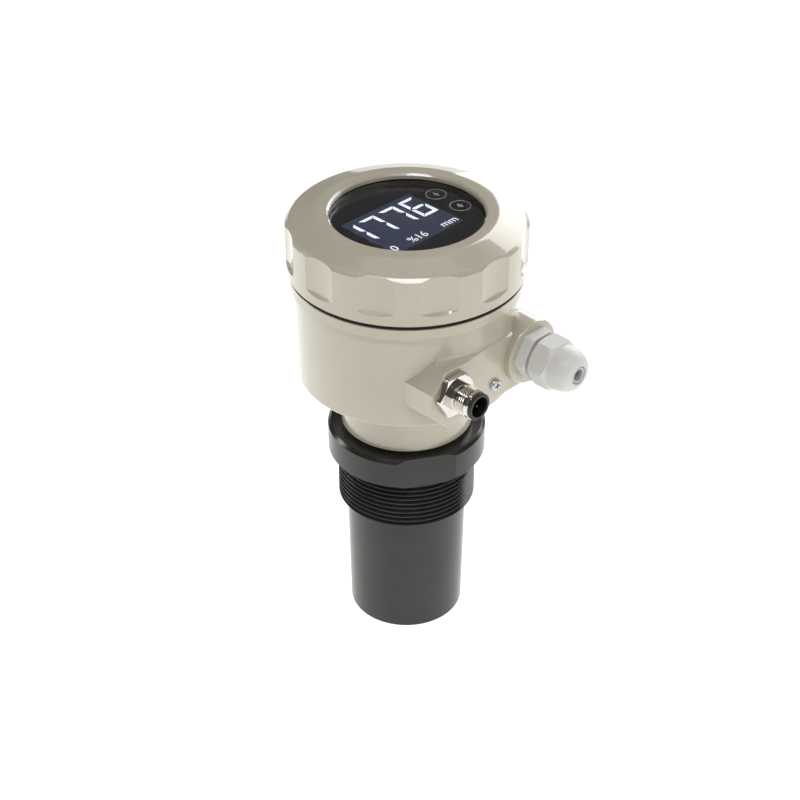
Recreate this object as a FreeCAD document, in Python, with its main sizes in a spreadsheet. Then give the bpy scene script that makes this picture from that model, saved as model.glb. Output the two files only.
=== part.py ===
# Ultrasonic level transmitter: a round cast housing with a screwed window cover, a plastic
# transducer on a two-inch process thread, a round plug connector and an empty cable gland.
# Frame: Z is the transducer axis and points up, the measuring face lies at Z = 0,
# the two cable entries look towards -Y. All sizes are millimetres.
import FreeCAD, Part
import math
import os
import Sketcher

doc = FreeCAD.newDocument("level_transmitter")

# Driving sizes: one named cell each.
sizes = {
    # transducer
    "sensor_radius": 25.0,
    "sensor_top_radius": 26.0,
    "sensor_length": 60.0,
    "sensor_face_round": 1.2,
    "thread_radius": 29.8,
    "thread_length": 23.5,
    "thread_depth": 1.45,
    "thread_relief": 0.41,
    "thread_ridges": 10,
    "thread_gap_share": 0.14,
    "thread_flank_share": 0.3,
    "thread_crest_share": 0.14,
    "collar_flats": 64.0,
    "collar_radius": 34.0,
    "collar_height": 14.4,
    "collar_chamfer": 1.4,
    "sensor_bore_radius": 21.5,
    "sensor_bore_cap": 5.5,
    "lead_bore_radius": 16.0,
    "joint_radius": 22.0,
    "joint_length": 14.5,
    "joint_lead": 1.0,
    "matching_thickness": 6.0,
    "crystal_radius": 17.0,
    "crystal_thickness": 4.0,
    "backing_thickness": 16.0,
    "fill_gap": 6.0,
    "fill_clearance": 0.05,
    "lead_radius": 1.8,
    "lead_offset": 8.0,
    "lead_plug_width": 9.0,
    "lead_plug_depth": 6.0,
    "lead_plug_height": 7.0,
    "neck_ring_radius": 25.2,
    "neck_ring_section": 1.2,
    "ring_squeeze": 0.05,
    # housing
    "neck_radius": 28.3,
    "neck_chamfer": 1.8,
    "neck_length": 26.1,
    "neck_round": 3.0,
    "underside_drop": 5.0,
    "body_draft": 0.8,
    "body_edge_round": 1.5,
    "body_height": 43.0,
    "rim_inset": 0.9,
    "rim_step": 1.7,
    "rim_height": 5.5,
    "rim_edge": 0.6,
    "mouth_height": 15.5,
    "mouth_lead": 0.8,
    "mouth_wall": 2.5,
    "floor_thickness": 3.5,
    "neck_hole_radius": 17.0,
    "slip_clearance": 0.2,
    "post_radius": 4.0,
    "post_inset": 9.0,
    "post_height": 11.5,
    # entry block
    "entry_proud": 1.5,
    "entry_root_depth": 1.3,
    "entry_inset": 11.3,
    "entry_height": 19.8,
    "block_half_width": 33.6,
    "block_above": 10.8,
    "block_below": 15.5,
    "block_corner": 7.8,
    "block_edge_round": 0.7,
    "block_root_round": 3.0,
    "boss_radius": 14.0,
    "boss_height": 3.0,
    "entry_clearance": 0.2,
    "cut_overrun": 1.0,
    # round plug connector
    "plug_flats": 17.4,
    "plug_corner_radius": 9.7,
    "plug_flange": 3.3,
    "plug_chamfer": 0.5,
    "plug_shank_radius": 7.0,
    "plug_shank_length": 11.0,
    "plug_shoulder_radius": 6.2,
    "plug_shoulder_length": 2.7,
    "plug_thread_radius": 6.0,
    "plug_thread_length": 7.4,
    "plug_bore_radius": 5.0,
    "insert_rim_radius": 5.7,
    "insert_rim_length": 1.6,
    "insert_socket_radius": 4.3,
    "insert_socket_depth": 10.0,
    "pin_radius": 0.5,
    "pin_circle": 2.4,
    "pin_below_rim": 5.0,
    "pin_tail": 2.0,
    "pin_clearance": 0.05,
    "plug_ring_radius": 7.65,
    "plug_ring_section": 0.5,
    # cable gland
    "gland_flats": 20.0,
    "gland_corner_radius": 11.3,
    "gland_base": 5.0,
    "gland_chamfer": 0.5,
    "gland_shank_radius": 8.0,
    "gland_shank_length": 12.0,
    "gland_neck_radius": 8.2,
    "gland_neck_end": 14.0,
    "gland_claw_end": 20.0,
    "gland_claw_radius": 6.4,
    "gland_bore_radius": 5.0,
    "seal_seat_radius": 5.7,
    "seal_seat_start": 8.0,
    "seal_radius": 5.4,
    "seal_bore_radius": 2.5,
    "seal_start": 8.5,
    "seal_end": 22.2,
    "seal_nose_radius": 3.7,
    "seal_nose_end": 24.6,
    "nut_start": 6.0,
    "nut_straight_end": 16.5,
    "nut_end": 25.0,
    "nut_inner_radius": 8.6,
    "nut_inner_end": 15.0,
    "nut_seat": 22.3,
    "nut_seat_radius": 6.2,
    "nut_mouth_radius": 3.9,
    "nut_front_radius": 5.6,
    "nut_dome_radius": 9.2,
    "gland_ring_section": 0.7,
    # ground screw
    "ground_offset": 2.6,
    "ground_height": 11.8,
    "ground_head_radius": 2.6,
    "ground_head_height": 1.9,
    "ground_crown_radius": 1.5,
    "ground_crown_round": 1.6,
    "ground_shank_radius": 2.0,
    "ground_shank_length": 8.0,
    # cover
    "cover_gap": 1.2,
    "cover_radius": 49.4,
    "cover_height": 24.8,
    "cover_bottom_chamfer": 0.6,
    "cover_wall": 4.4,
    "cover_bore_clearance": 0.5,
    "cover_skirt": 2.1,
    "cover_relief_height": 1.6,
    "cover_roof": 6.0,
    "cover_boss_wall": 2.6,
    "cover_boss_drop": 2.5,
    "window_margin": 17.7,
    "window_chamfer": 0.8,
    "window_lip": 2.3,
    "window_lip_width": 4.1,
    "ring_seat_step": 2.1,
    "ring_seat_height": 3.0,
    "cover_land_width": 5.9,
    "cover_shoulder_inset": 1.8,
    "cover_shoulder_drop": 2.9,
    "cover_edge_drop": 4.7,
    "scallop_depth": 1.3,
    "scallop_radius": 40.0,
    "scallop_start": 4.3,
    "scallop_count": 12,
    "cover_ring_section": 1.2,
    # window
    "gasket_thickness": 0.4,
    "gasket_inset": 0.9,
    "glass_clearance": 0.3,
    "glass_thickness": 3.0,
    "ring_inset": 1.3,
    "ring_clearance": 0.3,
    "ring_thickness": 2.6,
    "ring_hole_radius": 0.9,
    "ring_hole_depth": 1.6,
    "ring_hole_count": 4,
    # electronics
    "board_thickness": 1.6,
    "board_clearance": 3.5,
    "board_screw_radius": 1.5,
    "board_screw_length": 9.0,
    "board_head_radius": 2.8,
    "board_head_height": 2.0,
    "screw_clearance": 0.2,
    "tapped_clearance": 0.05,
    "display_gap": 0.5,
    "display_depth": 6.3,
    "standoff_flats": 5.5,
    "standoff_stud_radius": 1.4,
    "standoff_stud_length": 2.6,
    "standoff_bore_radius": 1.3,
    "standoff_bore_depth": 9.0,
    "display_screw_radius": 1.25,
    "display_screw_length": 7.0,
    "display_head_radius": 2.4,
    "display_head_height": 1.6,
    "terminal_width": 30.0,
    "terminal_depth": 12.0,
    "terminal_height": 13.0,
    "terminal_step": 6.5,
    "terminal_slope": 3.5,
    "terminal_offset": 8.0,
    "terminal_pitch": 7.0,
    "terminal_count": 4,
    "terminal_mouth_radius": 2.3,
    "terminal_mouth_depth": 6.0,
    "terminal_mouth_height": 4.0,
    "terminal_screw_radius": 2.0,
    "terminal_screw_depth": 2.0,
    "terminal_screw_sink": 0.6,
    # display
    "bezel_inset": 0.7,
    "bezel_chord_share": 0.8645,
    "bezel_wall": 0.8,
    "bezel_thickness": 1.8,
    "screen_width_share": 1.2484,
    "screen_height_share": 1.0323,
    "screen_offset_share": -0.0855,
    "screen_clearance": 0.15,
    "screen_sink": 0.2,
    "key_offset_share": 0.7694,
    "key_pitch_share": 0.4484,
    "key_radius_share": 0.1484,
    "key_clearance": 0.3,
    "key_proud": 0.2,
    "key_flange": 0.45,
    "key_flange_thickness": 0.8,
    "key_flange_gap": 0.1,
    "key_stem_radius": 1.5,
    "key_stem_length": 0.5,
    "switch_width": 6.0,
    "switch_height": 0.5,
    "switch_button_radius": 1.4,
    "switch_gap": 0.7,
}

# Levels that follow from the sizes above.
levels = {
    "rim_radius": "=Sizes.cover_radius - Sizes.rim_inset",
    "body_top_radius": "=Levels.rim_radius - Sizes.rim_step",
    "body_radius": "=Levels.body_top_radius - Sizes.body_draft",
    "cover_bore": "=Sizes.cover_radius - Sizes.cover_wall",
    "mouth_radius": "=Levels.cover_bore - Sizes.cover_bore_clearance",
    "cavity_radius": "=Levels.mouth_radius - Sizes.mouth_wall",
    "board_radius": "=Levels.cavity_radius - Sizes.board_clearance",
    "post_circle": "=Levels.cavity_radius - Sizes.post_inset",
    "entry_face": "=Levels.body_radius + Sizes.entry_proud",
    "entry_offset": "=Sizes.block_half_width - Sizes.entry_inset",
    "boss_side": "=Levels.entry_offset + Sizes.boss_radius",
    "entry_reach": "=sqrt(Levels.body_radius ^ 2 - Levels.boss_side ^ 2) - Sizes.entry_root_depth",
    "cover_relief_radius": "=Sizes.cover_radius - Sizes.cover_skirt",
    "cover_shoulder_radius": "=Sizes.cover_radius - Sizes.cover_shoulder_inset",
    "window_radius": "=Sizes.cover_radius - Sizes.window_margin",
    "cover_land_radius": "=Levels.window_radius + Sizes.cover_land_width",
    "glass_seat_radius": "=Levels.window_radius + Sizes.window_lip_width",
    "glass_radius": "=Levels.glass_seat_radius - Sizes.glass_clearance",
    "gasket_inner_radius": "=Levels.window_radius + Sizes.gasket_inset",
    "ring_seat_radius": "=Levels.glass_seat_radius + Sizes.ring_seat_step",
    "ring_inner_radius": "=Levels.window_radius + Sizes.ring_inset",
    "ring_outer_radius": "=Levels.ring_seat_radius - Sizes.ring_clearance",
    "ring_hole_circle": "=(Levels.ring_inner_radius + Levels.ring_outer_radius) / 2",
    "cover_boss_radius": "=Levels.ring_seat_radius + Sizes.cover_boss_wall",
    "bezel_radius": "=Levels.window_radius - Sizes.bezel_inset",
    "bezel_chord": "=Levels.bezel_radius * Sizes.bezel_chord_share",
    "screen_width": "=Levels.bezel_radius * Sizes.screen_width_share",
    "screen_height": "=Levels.bezel_radius * Sizes.screen_height_share",
    "screen_offset": "=Levels.bezel_radius * Sizes.screen_offset_share",
    "key_offset": "=Levels.bezel_radius * Sizes.key_offset_share",
    "key_pitch": "=Levels.bezel_radius * Sizes.key_pitch_share",
    "key_radius": "=Levels.bezel_radius * Sizes.key_radius_share",
    "thread_top": "=Sizes.sensor_length + Sizes.thread_length",
    "thread_root_radius": "=Sizes.thread_radius - Sizes.thread_depth",
    "thread_pitch": "=(Sizes.thread_length - Sizes.thread_relief) / Sizes.thread_ridges",
    "sensor_bore_top": "=Levels.thread_top - Sizes.sensor_bore_cap",
    "fill_top": "=Levels.sensor_bore_top - Sizes.fill_gap",
    "collar_top": "=Sizes.sensor_length + Sizes.thread_length + Sizes.collar_height",
    "body_bottom": "=Levels.collar_top + Sizes.neck_length",
    "neck_top": "=Levels.body_bottom - Sizes.underside_drop",
    "floor_top": "=Levels.body_bottom + Sizes.floor_thickness",
    "body_top": "=Levels.body_bottom + Sizes.body_height",
    "rim_top": "=Levels.body_top + Sizes.rim_height",
    "mouth_top": "=Levels.rim_top + Sizes.mouth_height",
    "entry_axis": "=Levels.body_bottom + Sizes.entry_height",
    "boss_face": "=Levels.entry_face + Sizes.boss_height",
    "cover_bottom": "=Levels.rim_top + Sizes.cover_gap",
    "cover_top": "=Levels.cover_bottom + Sizes.cover_height",
    "cover_roof": "=Levels.cover_top - Sizes.cover_roof",
    "lip_bottom": "=Levels.cover_top - Sizes.window_lip",
    "glass_top": "=Levels.lip_bottom - Sizes.gasket_thickness",
    "glass_bottom": "=Levels.glass_top - Sizes.glass_thickness",
    "boss_bottom": "=Levels.cover_roof - Sizes.cover_boss_drop",
    "ring_seat_top": "=Levels.boss_bottom + Sizes.ring_seat_height",
    "main_board_bottom": "=Levels.floor_top + Sizes.post_height",
    "main_board_top": "=Levels.main_board_bottom + Sizes.board_thickness",
    "bezel_top": "=Levels.glass_bottom - Sizes.display_gap",
    "bezel_bottom": "=Levels.bezel_top - Sizes.bezel_thickness",
    "display_board_height": "=Levels.bezel_top - Sizes.display_depth",
    "display_board_top": "=Levels.display_board_height + Sizes.board_thickness",
    "key_top": "=Levels.bezel_top + Sizes.key_proud",
    "key_flange_top": "=Levels.bezel_bottom - Sizes.key_flange_gap",
    "key_flange_bottom": "=Levels.key_flange_top - Sizes.key_flange_thickness",
    "key_stem_bottom": "=Levels.key_flange_bottom - Sizes.key_stem_length",
    "plug_shoulder_end": "=Sizes.plug_flange + Sizes.plug_shoulder_length",
    "plug_end": "=Levels.plug_shoulder_end + Sizes.plug_thread_length",
    "insert_end": "=Levels.plug_end + Sizes.insert_rim_length",
}

# Post directions in degrees; standoff places as shares of the bezel radius.
post_angles = (30, 150, 270)
standoff_places = ((0.0, 0.73), (-0.47, -0.7), (0.47, -0.7))
face_tolerance = 0.01


def fill_sheet(name, cells):
    sheet = doc.addObject("Spreadsheet::Sheet", name)
    for row, (alias, content) in enumerate(cells.items(), start=1):
        sheet.set(f"A{row}", alias)
        sheet.set(f"B{row}", str(content))
        sheet.setAlias(f"B{row}", alias)
    return sheet


sheet = fill_sheet("Sizes", sizes)
doc.recompute()
fill_sheet("Levels", levels)
doc.recompute()


def measure(expression):
    return float(sheet.evalExpression(expression))


# Sketch helpers: every coordinate is an expression on the sheets.
def add_body(name):
    body = doc.addObject("PartDesign::Body", name)
    body.Label = name
    return body


def add_sketch(body, name, plane, offset=None):
    sketch = body.newObject("Sketcher::SketchObject", f"{body.Name}_{name}")
    support = next(item for item in body.Origin.OriginFeatures if item.Role == plane)
    sketch.AttachmentSupport = [(support, "")]
    sketch.MapMode = "FlatFace"
    if offset is not None:
        sketch.setExpression("AttachmentOffset.Base.z", offset)
    doc.recompute()
    return sketch


def bind(sketch, kind, element, point, expression):
    number = sketch.addConstraint(Sketcher.Constraint(kind, element, point, measure(expression)))
    sketch.setExpression(f"Constraints[{number}]", expression)


def bind_radius(sketch, element, expression):
    number = sketch.addConstraint(Sketcher.Constraint("Radius", element, measure(expression)))
    sketch.setExpression(f"Constraints[{number}]", expression)


def arc_between(start, end, radius, turn):
    # Turn +1 runs anticlockwise from start to end, -1 clockwise; always the shorter arc.
    chord = end - start
    half = chord.Length / 2
    rise = math.sqrt(radius * radius - half * half)
    side = FreeCAD.Vector(-chord.y, chord.x, 0).normalize() * turn
    middle = (start + end) / 2 - side * (radius - rise)
    return Part.Arc(start, middle, end)


# A closed outline. A corner is (x, y), or (x, y, radius, turn) when an arc leads to it.
def draw_outline(sketch, corners):
    count = len(corners)
    spots = [FreeCAD.Vector(measure(corner[0]), measure(corner[1]), 0) for corner in corners]
    first = sketch.GeometryCount
    ends = []
    for index in range(count):
        following = corners[(index + 1) % count]
        start = spots[index]
        end = spots[(index + 1) % count]
        if len(following) == 2:
            sketch.addGeometry(Part.LineSegment(start, end), False)
            ends.append((1, 2))
        else:
            sketch.addGeometry(arc_between(start, end, measure(following[2]), following[3]), False)
            ends.append((1, 2) if following[3] > 0 else (2, 1))
    for index in range(count):
        after = (index + 1) % count
        sketch.addConstraint(Sketcher.Constraint(
            "Coincident", first + index, ends[index][1], first + after, ends[after][0]))
    for index, corner in enumerate(corners):
        bind(sketch, "DistanceX", first + index, ends[index][0], corner[0])
        bind(sketch, "DistanceY", first + index, ends[index][0], corner[1])
        if len(corner) > 2:
            bind_radius(sketch, first + (index - 1) % count, corner[2])


def draw_circle(sketch, x, y, radius):
    centre = FreeCAD.Vector(measure(x), measure(y), 0)
    number = sketch.addGeometry(Part.Circle(centre, FreeCAD.Vector(0, 0, 1), measure(radius)), False)
    bind(sketch, "DistanceX", number, 3, x)
    bind(sketch, "DistanceY", number, 3, y)
    bind_radius(sketch, number, radius)


# An upright construction line to turn a profile about.
def draw_axis(sketch, x, low, high):
    start = FreeCAD.Vector(measure(x), measure(low), 0)
    end = FreeCAD.Vector(measure(x), measure(high), 0)
    number = sketch.addGeometry(Part.LineSegment(start, end), True)
    for point, level in ((1, low), (2, high)):
        bind(sketch, "DistanceX", number, point, x)
        bind(sketch, "DistanceY", number, point, level)


def box_corners(left, right, low, high):
    return [(left, low), (right, low), (right, high), (left, high)]


# Feature helpers.
def revolve(body, name, corners):
    sketch = add_sketch(body, f"{name}_profile", "XZ_Plane")
    draw_outline(sketch, corners)
    feature = body.newObject("PartDesign::Revolution", f"{body.Name}_{name}")
    feature.Profile = sketch
    feature.ReferenceAxis = (sketch, ["V_Axis"])
    feature.Angle = 360
    doc.recompute()
    return feature


def turn_away(body, name, sketch, axis="V_Axis"):
    feature = body.newObject("PartDesign::Groove", f"{body.Name}_{name}")
    feature.Profile = sketch
    feature.ReferenceAxis = (sketch, [axis])
    feature.Angle = 360
    doc.recompute()
    return feature


def groove(body, name, corners):
    sketch = add_sketch(body, f"{name}_profile", "XZ_Plane")
    draw_outline(sketch, corners)
    return turn_away(body, name, sketch)


def pad(body, name, sketch, length, reverse=False):
    feature = body.newObject("PartDesign::Pad", f"{body.Name}_{name}")
    feature.Profile = sketch
    feature.Reversed = reverse
    feature.setExpression("Length", length)
    doc.recompute()
    return feature


def pocket(body, name, sketch, length=None, reverse=False):
    feature = body.newObject("PartDesign::Pocket", f"{body.Name}_{name}")
    feature.Profile = sketch
    feature.Reversed = reverse
    if length is None:
        feature.Type = "ThroughAll"
    else:
        feature.setExpression("Length", length)
    doc.recompute()
    return feature


def repeat_round(body, name, feature, sketch, count, axis="N_Axis"):
    pattern = body.newObject("PartDesign::PolarPattern", f"{body.Name}_{name}")
    pattern.Originals = [feature]
    pattern.Axis = (sketch, [axis])
    pattern.Angle = 360
    pattern.setExpression("Occurrences", count)
    body.Tip = pattern
    doc.recompute()
    return pattern


# Cuts six flats on a turned blank between two levels; the first flat looks along the local angle axis.
def cut_hexagon(body, name, flats, corner_radius, low, high, along_y):
    sketch = add_sketch(body, f"{name}_flat", "XY_Plane", low)
    inner = f"{flats} / 2"
    outer = f"{corner_radius} + Sizes.cut_overrun"
    if along_y:
        draw_outline(sketch, box_corners(f"-({outer})", outer, inner, outer))
    else:
        draw_outline(sketch, box_corners(inner, outer, f"-({outer})", outer))
    cut = pocket(body, f"{name}_flat_cut", sketch, f"{high} - ({low})", reverse=True)
    repeat_round(body, f"{name}_flats", cut, sketch, "6")


# Stands a piece that is built along local Z on the entry face, local Z outwards along -Y.
def face_outwards(item, x, depth):
    item.Placement = FreeCAD.Placement(
        FreeCAD.Vector(0, 0, 0), FreeCAD.Rotation(FreeCAD.Vector(1, 0, 0), 90))
    item.setExpression("Placement.Base.x", x)
    item.setExpression("Placement.Base.y", f"-({depth})")
    item.setExpression("Placement.Base.z", "Levels.entry_axis")
    doc.recompute()


def add_cylinder(name, radius, height, x, y, z):
    item = doc.addObject("Part::Cylinder", name)
    item.setExpression("Radius", radius)
    item.setExpression("Height", height)
    item.setExpression("Placement.Base.x", x)
    item.setExpression("Placement.Base.y", y)
    item.setExpression("Placement.Base.z", z)
    return item


def add_box(name, width, depth, height, x, y, z):
    item = doc.addObject("Part::Box", name)
    item.setExpression("Length", width)
    item.setExpression("Width", depth)
    item.setExpression("Height", height)
    item.setExpression("Placement.Base.x", f"{x} - ({width}) / 2")
    item.setExpression("Placement.Base.y", f"{y} - ({depth}) / 2")
    item.setExpression("Placement.Base.z", z)
    return item


def add_ring(name, radius, section):
    item = doc.addObject("Part::Torus", name)
    item.Label = name
    item.setExpression("Radius1", radius)
    item.setExpression("Radius2", section)
    return item


def join(name, items):
    item = doc.addObject("Part::MultiFuse", name)
    item.Shapes = items
    return item


def group(name, items):
    item = doc.addObject("Part::Compound", name)
    item.Label = name
    item.Links = items
    return item


# Pipe thread as plain ridges, one per turn: root, flank, crest, flank.
def thread_corners():
    corners = [("Levels.thread_root_radius", "Sizes.sensor_length")]
    for turn in range(sizes["thread_ridges"]):
        foot = f"Sizes.sensor_length + Levels.thread_pitch * ({turn} + Sizes.thread_gap_share)"
        flank = "Levels.thread_pitch * Sizes.thread_flank_share"
        crest = "Levels.thread_pitch * Sizes.thread_crest_share"
        corners += [
            ("Levels.thread_root_radius", foot),
            ("Sizes.thread_radius", f"{foot} + {flank}"),
            ("Sizes.thread_radius", f"{foot} + {flank} + {crest}"),
            ("Levels.thread_root_radius", f"{foot} + 2 * {flank} + {crest}"),
        ]
    return corners + [("Levels.thread_root_radius", "Levels.thread_top")]


# Transducer body: one turned plastic piece from the measuring face up to the joint in the neck.
sensor = add_body("sensor_body")
revolve(sensor, "shell", [
    ("Sizes.sensor_bore_radius", "0"),
    ("Sizes.sensor_radius - Sizes.sensor_face_round", "0"),
    ("Sizes.sensor_radius", "Sizes.sensor_face_round", "Sizes.sensor_face_round", 1),
    ("Sizes.sensor_top_radius", "Sizes.sensor_length"),
    *thread_corners(),
    ("Sizes.collar_radius - Sizes.collar_chamfer", "Levels.thread_top"),
    ("Sizes.collar_radius", "Levels.thread_top + Sizes.collar_chamfer"),
    ("Sizes.collar_radius", "Levels.collar_top - Sizes.collar_chamfer"),
    ("Sizes.collar_radius - Sizes.collar_chamfer", "Levels.collar_top"),
    ("Sizes.joint_radius", "Levels.collar_top"),
    ("Sizes.joint_radius", "Levels.collar_top + Sizes.joint_length - Sizes.joint_lead"),
    ("Sizes.joint_radius - Sizes.joint_lead", "Levels.collar_top + Sizes.joint_length"),
    ("Sizes.lead_bore_radius", "Levels.collar_top + Sizes.joint_length"),
    ("Sizes.lead_bore_radius", "Levels.sensor_bore_top"),
    ("Sizes.sensor_bore_radius", "Levels.sensor_bore_top"),
])
cut_hexagon(sensor, "collar", "Sizes.collar_flats", "Sizes.collar_radius",
            "Levels.thread_top", "Levels.collar_top", along_y=False)
ring_half = "(Sizes.neck_ring_section + Sizes.slip_clearance)"
groove(sensor, "seal_groove", box_corners(
    f"Sizes.neck_ring_radius - {ring_half}", f"Sizes.neck_ring_radius + {ring_half}",
    "Levels.collar_top - 2 * Sizes.neck_ring_section", "Levels.collar_top"))

neck_seal = add_ring("neck_seal", "Sizes.neck_ring_radius",
                     "Sizes.neck_ring_section - Sizes.ring_squeeze")
neck_seal.setExpression("Placement.Base.z", "Levels.collar_top - Sizes.neck_ring_section")

# Transducer stack, bottom to top.
fill_radius = "Sizes.sensor_bore_radius - Sizes.fill_clearance"
matching_layer = add_cylinder("matching_layer", fill_radius, "Sizes.matching_thickness", "0", "0", "0")
piezo_disc = add_cylinder("piezo_disc", "Sizes.crystal_radius", "Sizes.crystal_thickness",
                          "0", "0", "Sizes.matching_thickness")
backing_start = "Sizes.matching_thickness + Sizes.crystal_thickness"
backing_pad = add_cylinder("backing_pad", "Sizes.crystal_radius", "Sizes.backing_thickness",
                           "0", "0", backing_start)
potting = add_body("potting")
revolve(potting, "fill", [
    ("Sizes.crystal_radius + Sizes.fill_clearance", "Sizes.matching_thickness"),
    (fill_radius, "Sizes.matching_thickness"),
    (fill_radius, "Levels.fill_top"),
    ("0", "Levels.fill_top"),
    ("0", f"{backing_start} + Sizes.backing_thickness"),
    ("Sizes.crystal_radius + Sizes.fill_clearance", f"{backing_start} + Sizes.backing_thickness"),
])
lead_plug_bottom = "Levels.main_board_bottom - Sizes.lead_plug_height"
sensor_lead = add_cylinder("sensor_lead", "Sizes.lead_radius", f"{lead_plug_bottom} - Levels.fill_top",
                           "Sizes.lead_offset", "0", "Levels.fill_top")
lead_plug = add_box("lead_plug", "Sizes.lead_plug_width", "Sizes.lead_plug_depth", "Sizes.lead_plug_height",
                    "Sizes.lead_offset", "0", lead_plug_bottom)

# Housing: cast bowl on a neck, with an octagonal entry block that grows out of its front.
housing = add_body("housing")
revolve(housing, "bowl", [
    ("0", "Levels.collar_top"),
    ("Sizes.neck_radius - Sizes.neck_chamfer", "Levels.collar_top"),
    ("Sizes.neck_radius", "Levels.collar_top + Sizes.neck_chamfer"),
    ("Sizes.neck_radius", "Levels.neck_top - Sizes.neck_round"),
    ("Sizes.neck_radius + Sizes.neck_round", "Levels.neck_top", "Sizes.neck_round", -1),
    ("Levels.body_radius - Sizes.body_edge_round", "Levels.body_bottom"),
    ("Levels.body_radius", "Levels.body_bottom + Sizes.body_edge_round", "Sizes.body_edge_round", 1),
    ("Levels.body_top_radius", "Levels.body_top"),
    ("Levels.rim_radius - Sizes.rim_edge", "Levels.body_top"),
    ("Levels.rim_radius", "Levels.body_top + Sizes.rim_edge"),
    ("Levels.rim_radius", "Levels.rim_top - Sizes.rim_edge"),
    ("Levels.rim_radius - Sizes.rim_edge", "Levels.rim_top"),
    ("Levels.mouth_radius", "Levels.rim_top"),
    ("Levels.mouth_radius", "Levels.mouth_top - Sizes.mouth_lead"),
    ("Levels.mouth_radius - Sizes.mouth_lead", "Levels.mouth_top"),
    ("0", "Levels.mouth_top"),
])

block_low = "Levels.entry_axis - Sizes.block_below"
block_high = "Levels.entry_axis + Sizes.block_above"
block = add_sketch(housing, "block_outline", "XZ_Plane", "Levels.entry_reach")
draw_outline(block, [
    ("-Sizes.block_half_width + Sizes.block_corner", block_low),
    ("Sizes.block_half_width - Sizes.block_corner", block_low),
    ("Sizes.block_half_width", f"{block_low} + Sizes.block_corner"),
    ("Sizes.block_half_width", f"{block_high} - Sizes.block_corner"),
    ("Sizes.block_half_width - Sizes.block_corner", block_high),
    ("-Sizes.block_half_width + Sizes.block_corner", block_high),
    ("-Sizes.block_half_width", f"{block_high} - Sizes.block_corner"),
    ("-Sizes.block_half_width", f"{block_low} + Sizes.block_corner"),
])
pad(housing, "block", block, "Levels.entry_face - Levels.entry_reach")

boss = add_sketch(housing, "boss_outline", "XZ_Plane", "Levels.entry_reach")
draw_circle(boss, "Levels.entry_offset", "Levels.entry_axis", "Sizes.boss_radius")
pad(housing, "boss", boss, "Levels.boss_face - Levels.entry_reach")


# Cast edges: a wide round where the block top runs into the bowl, a small one around its faces.
def edges_on_face(body, depth, curve_kinds):
    names = []
    for number, edge in enumerate(body.Shape.Edges, start=1):
        box = edge.BoundBox
        on_face = abs(box.YMin + depth) < face_tolerance and abs(box.YMax + depth) < face_tolerance
        if on_face and edge.Curve.TypeId in curve_kinds:
            names.append(f"Edge{number}")
    return names


def root_edges(body, level):
    names = []
    for number, edge in enumerate(body.Shape.Edges, start=1):
        box = edge.BoundBox
        at_level = abs(box.ZMin - level) < face_tolerance and abs(box.ZMax - level) < face_tolerance
        if at_level and edge.Curve.TypeId == "Part::GeomCircle" and box.YMax < 0:
            names.append(f"Edge{number}")
    return names


def round_edges(body, name, edges, radius):
    base = body.Tip
    feature = body.newObject("PartDesign::Fillet", f"{body.Name}_{name}")
    feature.Base = (base, edges)
    feature.setExpression("Radius", radius)
    doc.recompute()
    return feature


round_edges(housing, "block_root", root_edges(housing, measure(block_high)), "Sizes.block_root_round")
face_edges = edges_on_face(housing, measure("Levels.boss_face"), ("Part::GeomCircle",))
face_edges += edges_on_face(housing, measure("Levels.entry_face"), ("Part::GeomLine",))
round_edges(housing, "block_edges", face_edges, "Sizes.block_edge_round")

groove(housing, "cavity", [
    ("0", "Levels.collar_top"),
    ("Sizes.joint_radius + Sizes.slip_clearance", "Levels.collar_top"),
    ("Sizes.joint_radius + Sizes.slip_clearance",
     "Levels.collar_top + Sizes.joint_length + Sizes.slip_clearance"),
    ("Sizes.neck_hole_radius", "Levels.collar_top + Sizes.joint_length + Sizes.slip_clearance"),
    ("Sizes.neck_hole_radius", "Levels.floor_top"),
    ("Levels.cavity_radius", "Levels.floor_top"),
    ("Levels.cavity_radius", "Levels.mouth_top"),
    ("0", "Levels.mouth_top"),
])

entries = ((-1, "plug", "Sizes.plug_shank_radius"), (1, "gland", "Sizes.gland_shank_radius"))
for side, name, radius in entries:
    hole = add_sketch(housing, f"{name}_hole", "XZ_Plane")
    draw_circle(hole, f"{side} * Levels.entry_offset", "Levels.entry_axis",
                f"{radius} + Sizes.entry_clearance")
    pocket(housing, f"{name}_entry", hole, "Levels.boss_face + Sizes.cut_overrun", reverse=True)

ground_hole = add_sketch(housing, "ground_hole", "XZ_Plane")
draw_circle(ground_hole, "Sizes.ground_offset", "Levels.body_bottom + Sizes.ground_height",
            "Sizes.ground_shank_radius + Sizes.tapped_clearance")
pocket(housing, "ground_thread", ground_hole, "Levels.boss_face + Sizes.cut_overrun", reverse=True)

posts = add_sketch(housing, "post_outline", "XY_Plane", "Levels.floor_top")
for angle in post_angles:
    draw_circle(posts, f"Levels.post_circle * cos({angle} deg)", f"Levels.post_circle * sin({angle} deg)",
                "Sizes.post_radius")
pad(housing, "posts", posts, "Sizes.post_height")
post_holes = add_sketch(housing, "post_holes", "XY_Plane", "Levels.main_board_bottom")
for angle in post_angles:
    draw_circle(post_holes, f"Levels.post_circle * cos({angle} deg)",
                f"Levels.post_circle * sin({angle} deg)", "Sizes.board_screw_radius + Sizes.tapped_clearance")
pocket(housing, "post_threads", post_holes, "Sizes.board_screw_length")

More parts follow.
